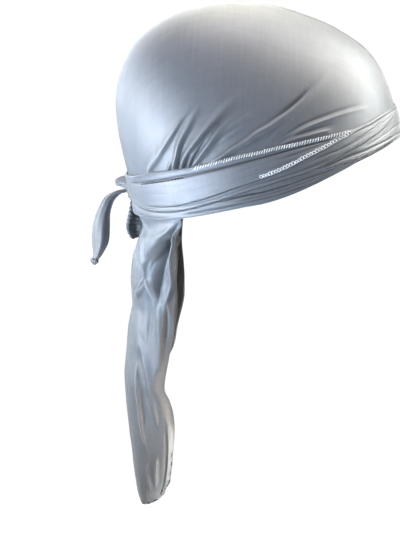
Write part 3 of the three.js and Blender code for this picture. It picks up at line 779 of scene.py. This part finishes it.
# Folds and hollows of the cape: height, half widths towards the back and the front, the shares of the route
# over which it comes and goes, and the route in (millimetres back, millimetres up).
capeColumns = ("height", "rear", "front", "fade", "route")
capeFolds = [dict(zip(capeColumns, row)) for row in (
    # the broad sweep from the wraps down to the crossing, steep on its lower side
    (4.8, 7.0, 1.2, (0.05, 0.62),
     [(56, -30), (60, -37), (65.5, -46.5), (70.6, -54.5), (74.6, -61), (76.6, -68), (77.4, -78)]),
    (2.8, 0.7, 1.4, (0.12, 0.3), [(77.1, -31), (77.1, -47.5), (77.7, -59), (77.1, -66.3), (77, -79)]),
    (-3.4, 3.6, 3.4, (0.25, 0.35), [(83, -34), (83.6, -47), (83.8, -59), (82.4, -73)]),
    (-2.6, 2.6, 0.7, (0.2, 0.4), [(79, -33), (79.1, -47), (79.6, -59), (79.0, -74)]),
    (-3.0, 0.9, 3.0, (0.15, 0.6), [(57.5, -37), (62, -46), (66.4, -53), (70.6, -60), (73.6, -66), (75, -74)]),
    # the crossing
    (1.9, 1.0, 1.2, (0.45, 0.25),
     [(77.4, -60), (77.2, -70), (77.3, -75.8), (80.2, -81), (83.8, -89), (86.6, -95.5)]),
    (1.5, 0.8, 0.9, (0.2, 0.3), [(76.7, -79.5), (79.5, -84.6), (82.6, -89.4), (85.4, -95)]),
    (2.2, 1.1, 2.0, (0.3, 0.4),
     [(77, -77), (76.7, -79.4), (74, -86.7), (71.4, -94.1), (69.8, -101.5), (69, -110)]),
    (-3.0, 2.4, 2.8, (0.3, 0.6), [(76.8, -83.5), (75.3, -92), (75.2, -104), (76, -118), (77, -130)]),
    # the hollow beside the sweep, deepest and narrowest at its top
    (-9.0, 3.2, 4.4, (0.2, 0.45),
     [(58.5, -38), (61.8, -46.5), (64.2, -54), (68, -62.5), (69.8, -71), (69.6, -80), (68.3, -88),
      (67.5, -96)]),
    (-5.0, 1.1, 1.5, (0.1, 0.5),
     [(56.4, -31), (58.8, -38.5), (61, -45.2), (62.6, -51.5), (64.6, -58.5), (66.4, -66)]),
    # the rounded fold along the near side edge
    (5.0, 3.4, 1.9, (0.1, 0.35),
     [(54.6, -31), (55.4, -37.8), (56.6, -45.2), (57.6, -54.6), (58, -63.3), (57.6, -72), (57.8, -79.3),
      (61.4, -89.6), (65.4, -96.5)]),
    (-3.0, 1.2, 1.2, (0.06, 0.3),
     [(53.6, -31), (53.7, -50), (53.7, -66), (54.3, -86), (56, -106), (58.8, -124)]),
    (1.7, 2.0, 2.2, (0.25, 0.4),
     [(67.2, -89), (67.7, -103), (67.9, -113.4), (67.3, -124.7), (67.8, -138), (69, -150)]),
    (-1.8, 1.6, 2.0, (0.3, 0.4), [(63, -91), (62.8, -104.4), (63.4, -117.1), (64, -130)]),
    (1.3, 2.4, 2.2, (0.3, 0.3), [(82.7, -98), (83.2, -108), (83.7, -117.3), (83.2, -128.6), (83.4, -140)]),
    # the long slanting crease: a low step, dark towards the back and bright towards the front
    (2.0, 1.1, 3.6, (0.35, 0.6),
     [(82, -121), (81.3, -126), (79.4, -134.7), (77.3, -145.9), (75.8, -155.7), (74.3, -164.7), (70.6, -182),
      (69.6, -190)]),
    (-1.2, 2.8, 1.8, (0.4, 0.3),
     [(84.2, -124), (82.2, -136), (80.2, -147), (78.4, -157), (77, -166), (73.6, -182)]),
    (1.2, 0.8, 1.4, (0.45, 0.5), [(73.3, -161), (71.9, -170), (70.4, -181.9), (69.8, -188)]),
    (1.7, 1.6, 1.1, (0.25, 0.2),
     [(85, -136), (84.5, -145), (84, -154.2), (83.6, -164.8), (82.6, -175.3), (81.7, -185.1), (80, -196.3),
      (77.6, -209)]),
    (-0.9, 1.3, 2.0, (0.3, 0.3), [(81.6, -150), (81.2, -164), (80.2, -178), (78.4, -192)]),
    (2.0, 0.7, 2.8, (0.25, 0.1),
     [(64.6, -178), (62.4, -188), (62, -200), (62.6, -214), (64.6, -230), (69, -243)]),
    (1.4, 0.9, 1.5, (0.3, 0.4), [(70.5, -206), (71.5, -223), (72.5, -238)]),
    (0.7, 1.4, 1.4, (0.3, 0.4), [(77, -212), (77.5, -226), (76, -240)]),
)]


def capeLift(y, z, side):
    # side is 1 on the right and -1 on the left
    spot = np.stack([y, z + (capeShape["farSideDrop"] if side < 0 else 0)], -1)
    total = np.zeros_like(y)
    for fold in capeFolds:
        route = alongRoute(fold["route"], capeShape["routeSamples"])
        tangents = unit(np.gradient(route, axis=0))
        gap = spot[..., None, :] - route
        best = (gap ** 2).sum(-1).argmin(-1)
        apart = np.take_along_axis(gap, best[..., None, None], -2)[..., 0, :]
        along = tangents[best]
        # towards the back is positive
        across = apart[..., 1] * along[..., 0] - apart[..., 0] * along[..., 1]
        t = best / (len(route) - 1)
        come, go = fold["fade"]
        fade = smoothStep(t, 0, come) * smoothStep(1 - t, 0, go)
        # a fold narrows to a point at both ends
        width = np.where(across > 0, fold["rear"], fold["front"]) * lerp(capeShape["foldPoint"], 1, fade)
        inside = (best > 0) & (best < len(route) - 1)
        distance = np.where(inside, np.abs(across), np.linalg.norm(apart, axis=-1))
        total += fold["height"] * fade * np.exp(-(distance / width) ** capeShape["foldSharpness"])
    return total * (capeShape["farSideFolds"] if side < 0 else 1)


def capeGrid(u, drop, lift):
    # u runs from -1 to 1 across the sheet, and lift moves it along its outward normal, in millimetres
    bend = math.radians(capeShape["bend"])
    turn = u * bend
    angle = 180 - capeShape["span"] * u
    bottom = bandLine("bottom", angle)
    # near the wraps the sheet follows the surface that they are wound on
    upper = bandPoints(angle, bottom - np.minimum(drop, 40), lift - 0.15)
    halfWidth, rear, near, far = (curveThrough(capeShape[k], drop)
                                  for k in ("halfWidth", "rear", "nearDepth", "farDepth"))
    depth = lerp(far, near, smoothStep(u, -0.35, 0.35))
    curl = 1 - capeShape["sideCurl"] * smoothStep(np.abs(u), 0.84, 1.0)
    x = -halfWidth * np.sin(turn) / math.sin(bend) * curl
    y = rear - depth * (1 - np.cos(turn)) / (1 - math.cos(bend))
    level = lerp(bandPoints(angle, bottom, 0)[..., 2], capeShape["topLevel"], smoothStep(drop, 0, 70))
    z = level - drop + capeShape["corner"] * smoothStep(drop, 196, 223) * np.abs(u) ** 3
    normal = unit(np.stack([-depth * np.sin(turn), halfWidth * np.cos(turn)], -1))
    folds = np.zeros_like(drop)
    for side, mask in ((1, u >= 0), (-1, u < 0)):
        folds[mask] = capeLift(y[mask], z[mask], side)
    folds = folds * smoothStep(drop, -1, 7)
    # cloth that has been folded away keeps faint creases across
    folds = folds + 0.22 * gentleWaves(u * 9, z / 9, 5) + 0.10 * gentleWaves(u * 20, z / 5, 2)
    hung = np.stack([x, y, z], -1)
    hung[..., :2] += normal * (folds + lift)[..., None]
    return lerp(upper, hung, smoothStep(drop, 0.5, 16)[..., None]), folds


def makeCape():
    farColumns, nearColumns = capeShape["columns"]
    columns = np.concatenate([np.linspace(-1, 0, farColumns, endpoint=False), np.linspace(0, 1, nearColumns)])
    u, drop = np.meshgrid(columns, np.concatenate([np.linspace(*stretch) for stretch in capeShape["rows"]]))
    outer, folds = capeGrid(u, drop, 0.0)
    inner = capeGrid(u, drop, -capeShape["wall"])[0]
    # painted shade in deep hollows and in creases
    deep = 0.85 * np.clip(-folds / capeShape["deepFold"] - 1, 0, 1)
    creases = np.maximum(creaseShade(folds, capeShape["creases"]), deep)
    uv = np.stack([u * 70, drop], -1)
    cape = finishPiece(sheetPiece("cape_cloth", outer, inner, uv, greySatin, creases=creases),
                       "cape")


makeCape()
print("cape made")

# The knot, a little to the left of the middle of the back: a lump of strap cloth gathered in from both sides,
# and one turn of strap drawn tight over its middle, on a slant. Millimetres.
knotShape = {
    "angle": 200, "lift": 3.1, "size": (18, 15, 9), "gap": 0.3,
    "waist": 0.22, "waistWidth": 0.30,       # how far the lump is drawn in, and over which share of it
    "turnWidth": (3.4, 0.7), "turnSlant": 1.6, "turnWall": 0.9, "turnCrease": 0.26,
    "turnReach": (0.86, 0.92),               # of the lump's half height and half depth
}
# The strap ends that come out of the knot. Routes are in millimetres from the middle of the knot, along the
# three axes, then the width there. Hollow names the side that the inside of the fold faces.
strapEnds = {
    "short_strap_end": {
        "route": [(0.0, 3.0, -1.0, 4.6), (-0.6, 8.0, -1.0, 4.6), (-2.2, 13.5, -2.2, 5.4),
                  (-4.5, 19.0, -6.6, 7.6), (-6.2, 22.8, -15.5, 9.8), (-7.6, 24.6, -26.0, 12.6),
                  (-9.2, 25.0, -36.0, 12.0), (-10.4, 26.4, -44.0, 7.2), (-10.8, 28.0, -48.6, 4.2),
                  (-11.0, 28.8, -50.8, 5.2), (-11.0, 29.2, -53.6, 1.0)],
        "across": (0.30, 0.95, 0.0), "curl": 1.35, "gathers": 0.0, "creased": 1.8, "hollow": "far",
        "slot": "pale_satin",
    },
    "tucked_strap_end": {
        "route": [(0.2, 0.2, -2.5, 5.0), (-1.2, -0.5, -8.0, 6.5), (-2.4, -0.9, -14.0, 9.0),
                  (-3.0, -0.6, -19.5, 10.4), (-3.2, 0.2, -25.0, 10.2), (-3.3, -0.4, -30.0, 8.6),
                  (-3.2, -1.8, -35.0, 5.4)],
        "across": (-0.30, 0.95, 0.0), "curl": 1.25, "gathers": 0.35, "creased": 1.0, "hollow": "near",
        "slot": "satin",
    },
    "knot_ear": {
        "route": [(-2.6, 0.6, 4.0, 8.0), (-1.8, 4.2, 5.2, 9.0), (-0.8, 7.6, 5.8, 7.6), (0.1, 10.6, 5.4, 5.6),
                  (0.8, 13.2, 4.2, 3.4)],
        "across": (0.5, 0.1, 0.86), "curl": 0.9, "gathers": 0.0, "creased": 1.0, "hollow": "far",
        "slot": "pale_satin",
    },
}
# creases: painted shade, as for creaseShade
strapCloth = {"wall": 0.9, "steps": 90, "across": 45, "fullness": 1.45, "rolledEdge": 1.3,
              "creases": [(1.0, 6, 0.5)]}


def knotPlace():
    # the middle of the knot, and its directions along the strap, outwards and upwards
    angle = knotShape["angle"]
    height = (bandLine("lowerSeam", angle) + bandLine("upperSeam", angle)) / 2
    seat, ahead = bandPoints([angle, angle + 1], [height, height], knotShape["lift"])
    out = outwardNormals(seat[None])[0]
    along = unit(ahead - seat - out * ((ahead - seat) @ out))
    up = np.cross(out, along)
    up *= np.sign(up[2])
    return seat + out * (knotShape["size"][2] / 2 + knotShape["gap"]), along, out, up


def makeKnot():
    centre, along, out, up = knotPlace()
    width, height, depth = (s / 2 for s in knotShape["size"])
    # the ends of the lump point along the strap
    t, f = np.meshgrid(np.linspace(0, fullTurn, 121)[:-1], np.linspace(0.02, np.pi - 0.02, 61))
    side = np.cos(f)
    pleats = (0.075 * np.cos(9 * t + 1.2 * side) + 0.05 * np.cos(5 * t - 2.0 * side)) * (0.35 + np.abs(side))
    waist = 1 - knotShape["waist"] * np.exp(-(side / knotShape["waistWidth"]) ** 2)
    r = np.sin(f) ** 0.75 * waist * (1 + pleats)
    lump = (centre + along * (side * width)[..., None] + up * (r * np.cos(t) * height)[..., None]
            + out * (r * np.sin(t) * depth)[..., None])
    uv = np.stack([t * 7, side * 12], -1)
    uv = np.concatenate([uv, uv[:, :1] + [fullTurn * 7, 0]], 1)
    finishPiece(cappedPiece("knot_cloth", lump, uv, greySatin), "knot")


def makeKnotTurn():
    centre, along, out, up = knotPlace()
    height, depth = (s / 2 * reach for s, reach in zip(knotShape["size"][1:], knotShape["turnReach"]))
    a, s = np.meshgrid(np.linspace(0, fullTurn, 97)[:-1], np.linspace(0, fullTurn, 41)[:-1], indexing="ij")
    width, swell = knotShape["turnWidth"]
    halfBand = width + swell * np.cos(a * 2 + 0.5)
    across = np.cos(s) * halfBand + knotShape["turnSlant"] * np.sin(a)
    creases = knotShape["turnCrease"] * np.cos(across * 2.9 + 0.8 * np.sin(a * 2)) * np.clip(np.sin(s), 0, 1)
    thick = knotShape["turnWall"] * np.sign(np.sin(s)) * np.abs(np.sin(s)) ** 0.7 + creases
    band = (centre + along * across[..., None] + up * ((height + thick) * np.cos(a))[..., None]
            + out * ((depth + thick) * np.sin(a))[..., None])
    uv = np.stack([a * 8, np.cos(s) * halfBand], -1)
    uv = np.concatenate([uv, uv[:1] + [fullTurn * 8, 0]], 0)
    uv = np.concatenate([uv, uv[:, :1]], 1)
    finishPiece(hoopPiece("knot_turn_cloth", band, uv, greySatin), "knot")


def rollEdge(name, path, radius):
    # the turned edge of a strap, seen end on as a round roll
    tangent = unit(np.gradient(path, axis=0))
    sideways = unit(np.cross(tangent, [1.0, 0, 0]))
    other = np.cross(tangent, sideways)
    count = len(path)
    turn = np.linspace(0, fullTurn, 15)[:-1]
    swell = radius * (0.8 + 0.3 * np.sin(np.linspace(0, 9 * np.pi, count)) ** 2)
    swell = swell * np.sin(np.pi * np.linspace(0.08, 0.92, count)) ** 0.4
    rings = path[:, None] + swell[:, None, None] * (np.cos(turn)[:, None] * sideways[:, None]
                                                    + np.sin(turn)[:, None] * other[:, None])
    uv = np.stack(np.broadcast_arrays(np.linspace(0, 40, count)[:, None],
                                      np.linspace(0, 6, len(turn) + 1)[None, :]), -1)
    finishPiece(cappedPiece(name, rings, uv, greySatin))


def makeStrapEnd(node, end):
    nearHollow = end["hollow"] == "near"
    count = strapCloth["steps"]
    table = alongRoute(end["route"], count)
    spine = knotPlace()[0] + table[:, :3]
    tangent = unit(np.gradient(spine, axis=0))
    facing = np.array(end["across"], float)
    wide = unit(facing - tangent * (tangent @ facing)[:, None])
    inward = np.cross(tangent, wide)
    inward *= np.sign(inward[:, 0].mean()) * (-1 if nearHollow else 1)
    t = np.linspace(0, 1, count)[:, None]
    s = np.linspace(-1, 1, strapCloth["across"])[None, :]
    halfArc = table[:, 3:] / 2 * strapCloth["fullness"]
    curl = end["curl"] * (0.55 + 0.45 * np.sin(np.pi * np.clip(t * 0.9 + 0.12, 0, 1)))
    radius = halfArc / curl
    turn = s * curl
    gathers = np.sin(fullTurn * (t * 11 + 0.08 * np.sin(s * 6))) * (0.5 + 0.5 * np.cos(fullTurn * t) ** 2)
    creases = 0.24 * np.cos(s * 5 + 2.2 * t) + 0.12 * np.cos(s * 11 - 5 * t)
    creases = creases * end["creased"] * np.sin(np.pi * np.clip(t, 0.03, 1)) ** 0.5
    lift = end["gathers"] * gathers + creases * np.minimum(1, halfArc / 7)
    faces = []
    for wall in (0.0, strapCloth["wall"]):
        r = radius + lift - wall
        side, deep = r * np.sin(turn), 0.5 * radius - r * np.cos(turn)
        faces.append(spine[:, None] + wide[:, None] * side[..., None] + inward[:, None] * deep[..., None])
    uv = np.stack([s * halfArc, np.broadcast_to(t * 60, lift.shape)], -1)
    # painted shade in the creases
    shade = creaseShade(lift, strapCloth["creases"])
    if nearHollow:
        # painted shade: deep in its fold, all but the rim is darkened
        shade = np.maximum(shade, 0.9 * smoothStep(-s, -0.45, -0.05))
    finishPiece(sheetPiece(node + "_cloth", *faces, uv, greySatin, creases=np.stack([shade, shade])),
                node)
    if nearHollow:
        rollEdge(node + "_rolled_edge", faces[1][6:-4, -1], strapCloth["rolledEdge"])


makeKnot()
makeKnotTurn()
for endNode, strapEnd in strapEnds.items():
    makeStrapEnd(endNode, strapEnd)
print("knot and strap ends made")


def threadPiece(name, paths, radius, material, sides=6):
    # round thread along each path, closed at both ends
    points, faces = [], []
    turn = np.linspace(0, fullTurn, sides + 1)[:-1]
    base = 0
    for path in paths:
        tangent = unit(np.gradient(path, axis=0))
        helper = unit(np.cross(tangent, [0.3, 0.2, 0.93]))
        other = np.cross(tangent, helper)
        rings = path[:, None] + radius * (np.cos(turn)[None, :, None] * helper[:, None]
                                          + np.sin(turn)[None, :, None] * other[:, None])
        points.append(rings.reshape(-1, 3))
        faces += [*(gridFaces(len(path), sides, closeColumns=True)[0] + base)]
        last = base + (len(path) - 1) * sides
        faces += [np.arange(base, base + sides)[::-1], np.arange(last, last + sides)]
        base = last + sides
    finishPiece(makeMesh(name, np.concatenate(points), faces, material))


def stitchLine(run, k, count):
    # one stitch, in degrees round and millimetres up: a slanting loop, a slanting bar or a dash
    if run["kind"] == "overlock":
        turn = np.linspace(0, fullTurn, 17)
        loose = 1 + 0.14 * math.sin(1.7 * k + 0.4)
        share = k + 0.5 + 0.38 * loose * np.cos(turn) + 0.16 * np.sin(turn)
        uneven = 1 + 0.16 * math.sin(2.4 * k) + 0.10 * math.sin(5.1 * k + 1)
        rise = 0.5 * run["width"] * uneven * np.sin(turn)
    elif run["kind"] == "slanting":
        slope = np.linspace(-1, 1, 6)
        share = k + 0.5 + 0.42 * slope
        uneven = 1 + 0.2 * math.sin(2.4 * k) + 0.12 * math.sin(5.1 * k + 1)
        rise = -0.5 * run["width"] * uneven * slope
    else:
        share = k + np.linspace(0.12, 0.72, 6)
        rise = 0
    start, end = run["line"][0][0], run["line"][-1][0]
    angle = start + (end - start) * share / count
    return angle, curveThrough(run["line"], angle) + rise


def makeStitches(name, run):
    layer = wrapLayers[run["wrap"]]
    reach = math.radians(run["line"][-1][0] - run["line"][0][0]) * wrapCloth["radius"]
    count = int(reach / run["pitch"])
    paths = []
    for farSide in (False, True):
        for k in range(count):
            angle, height = stitchLine(run, k, count)
            around = 360 - angle if farSide else angle
            paths.append(bandPoints(around, height, wrapLift(layer, around, height) + run["thread"] * 0.7))
    threadPiece(name, paths, run["thread"], run["material"])


for runName, stitchRun in stitchRuns.items():
    makeStitches(runName, stitchRun)

# Dark dashes that show at the edge of the cape's turned hem, from low on each side round to the bottom:
# drops, lengths and thickness in millimetres, and places across as shares of the half width.
capeStitches = {
    "start": 176, "pitch": 7.5, "dash": 3.2, "thread": 0.34, "inFromEdge": 0.012,
    "bottomPlaces": (0.28, 0.9, 0.22),       # from, to and apart
    "bottomDash": 0.10, "belowEdge": 0.4,
}


def makeCapeStitches():
    lift = capeStitches["thread"] * 0.6
    spots = 5
    paths = []
    for side in (-1, 1):
        for drop in np.arange(capeStitches["start"], capeShape["length"] - 2, capeStitches["pitch"]):
            u = np.full((1, spots), side * (1 - capeStitches["inFromEdge"]))
            drops = np.linspace(drop, drop + capeStitches["dash"], spots)[None]
            paths.append(capeGrid(u, drops, lift)[0][0])
        for start in np.arange(*capeStitches["bottomPlaces"]):
            u = side * np.linspace(start, start + capeStitches["bottomDash"], spots)[None]
            drops = np.full((1, spots), capeShape["length"] + capeStitches["belowEdge"])
            paths.append(capeGrid(u, drops, lift)[0][0])
    threadPiece("cape_hem_stitches", paths, capeStitches["thread"], darkThread)


makeCapeStitches()
print("stitches made")

# Soft lamps: where each stands and what it faces, and its side, all in metres, then watts, colour and spread
# in degrees. Big ones stand round the object, small ones fill the wraps, the front and the cape.
lightSettings = {
    "frontBehind": ((0.37, -1.0, 0.74), (0, 0, 0), 1.0, 17.5, "#FBFFFA", 180),
    "frontHigh": ((0.0, -1.18, 0.55), (0, 0, 0), 0.7, 5, "#FAFFF5", 180),
    "topFront": ((0.0, -0.92, 0.92), (0, 0, 0), 1.0, 17, "#FFFEF5", 180),
    "top": ((0.0, 0.0, 1.3), (0, 0, 0), 0.7, 10.8, "#FFF8F9", 180),
    "behindTop": ((0.78, 0.0, 1.04), (0, 0, 0), 0.7, 9.0, "#FFFBE3", 180),
    "behindTopRear": ((0.66, 0.79, 0.79), (0, 0, 0), 0.7, 3.3, "#FFF5E9", 180),
    "behindRear": ((0.7, 1.09, 0.13), (0, 0, 0), 0.7, 9.16, "#E0EFFF", 180),
    "rear": ((-0.2, 1.28, 0.1), (0, 0, 0), 0.7, 18, "#F1F8FF", 180),
    "low": ((-0.37, 0.0, -1.25), (0, 0, 0), 0.7, 5.03, "#FAFFFD", 180),
    "bandRear": ((-0.24, 0.34, -0.07), (-0.05, 0.09, 0.008), 0.22, 0.28, "#DEEAFF", 60),
    "bandRearLow": ((-0.26, 0.22, -0.18), (-0.05, 0.06, -0.02), 0.22, 0.15, "#B5DEFF", 50),
    "foldFill": ((-0.42, 0.22, -0.04), (-0.065, 0.045, 0.02), 0.1, 0.035, "#F0F4FF", 32),
    "frontLevel": ((-0.02, -0.8, 0.06), (-0.02, -0.09, 0.02), 0.2, 0.1, "#FBFDFF", 20),
    "frontNear": ((-0.12, -0.26, 0.32), (-0.02, -0.05, 0.06), 0.25, 0.4, "#FFE8DF", 180),
    "capeLow": ((-0.28, -0.06, -0.3), (-0.02, 0.07, -0.23), 0.25, 0.12, "#FFE6CE", 55),
    "capeFront": ((-0.24, -0.27, -0.36), (-0.02, 0.06, -0.265), 0.1, 0.17, "#FCFFF8", 30),
    "capeLowRear": ((-0.22, 0.3, -0.28), (-0.02, 0.08, -0.21), 0.25, 0.03, "#FFEED2", 70),
}


def makeLight(name, at, aim, size, power, colour, spread):
    data = bpy.data.lights.new(name, "AREA")
    data.size = size
    data.energy = power
    data.color = linearColour(colour)[:3]
    data.spread = math.radians(spread)
    lamp = linkObject(name, data)
    lamp.visible_camera = False
    lamp.location = at
    lamp.rotation_euler = (Vector(aim) - lamp.location).to_track_quat("-Z", "Y").to_euler()


for lightName, light in lightSettings.items():
    makeLight(lightName, *light)

# A white room, and a plain floor as white as it, well below the cape. The floor only meets the eye and casts
# nothing back, and it can be seen through from below.
studio = {
    "white": {"Color": (1, 1, 1, 1), "Strength": 1.05},
    "fill": "#E8EDF5", "fillStrength": 0.02,
    "floorLevel": -300, "floorHalf": 3000,          # millimetres
}


def makeRoom():
    world = bpy.context.scene.world or bpy.data.worlds.new("studio")
    bpy.context.scene.world = world
    world.use_nodes = True
    world.node_tree.nodes.clear()
    rays = addNode(world, "ShaderNodeLightPath")
    fill = addNode(world, "ShaderNodeBackground", {
        "Color": linearColour(studio["fill"]), "Strength": studio["fillStrength"]})
    paper = addNode(world, "ShaderNodeBackground", studio["white"])
    seen = addNode(world, "ShaderNodeMixShader", {
        0: rays.outputs["Is Camera Ray"], 1: fill.outputs[0], 2: paper.outputs[0]})
    addNode(world, "ShaderNodeOutputWorld", {"Surface": seen.outputs[0]})


def makeFloor():
    paper = bpy.data.materials.new("whitePaper")
    paper.use_nodes = True
    glow = addNode(paper, "ShaderNodeEmission", studio["white"])
    facing = addNode(paper, "ShaderNodeNewGeometry")
    clear = addNode(paper, "ShaderNodeBsdfTransparent")
    oneSided = addNode(paper, "ShaderNodeMixShader", {
        0: facing.outputs["Backfacing"], 1: glow.outputs[0], 2: clear.outputs[0]})
    surface = paper.node_tree.nodes["Material Output"].inputs["Surface"]
    paper.node_tree.links.new(oneSided.outputs[0], surface)
    half = studio["floorHalf"]
    corners = [(-half, -half), (half, -half), (half, half), (-half, half)]
    points = np.array([(x, y, studio["floorLevel"]) for x, y in corners], float)
    floor = makeMesh("floor", points, [np.arange(4)], paper)
    for rayKind in ("diffuse", "glossy", "transmission", "shadow"):
        setattr(floor, "visible_" + rayKind, False)


makeRoom()
makeFloor()
bpy.context.scene.view_settings.view_transform = "Standard"
print("lights, room and floor made")
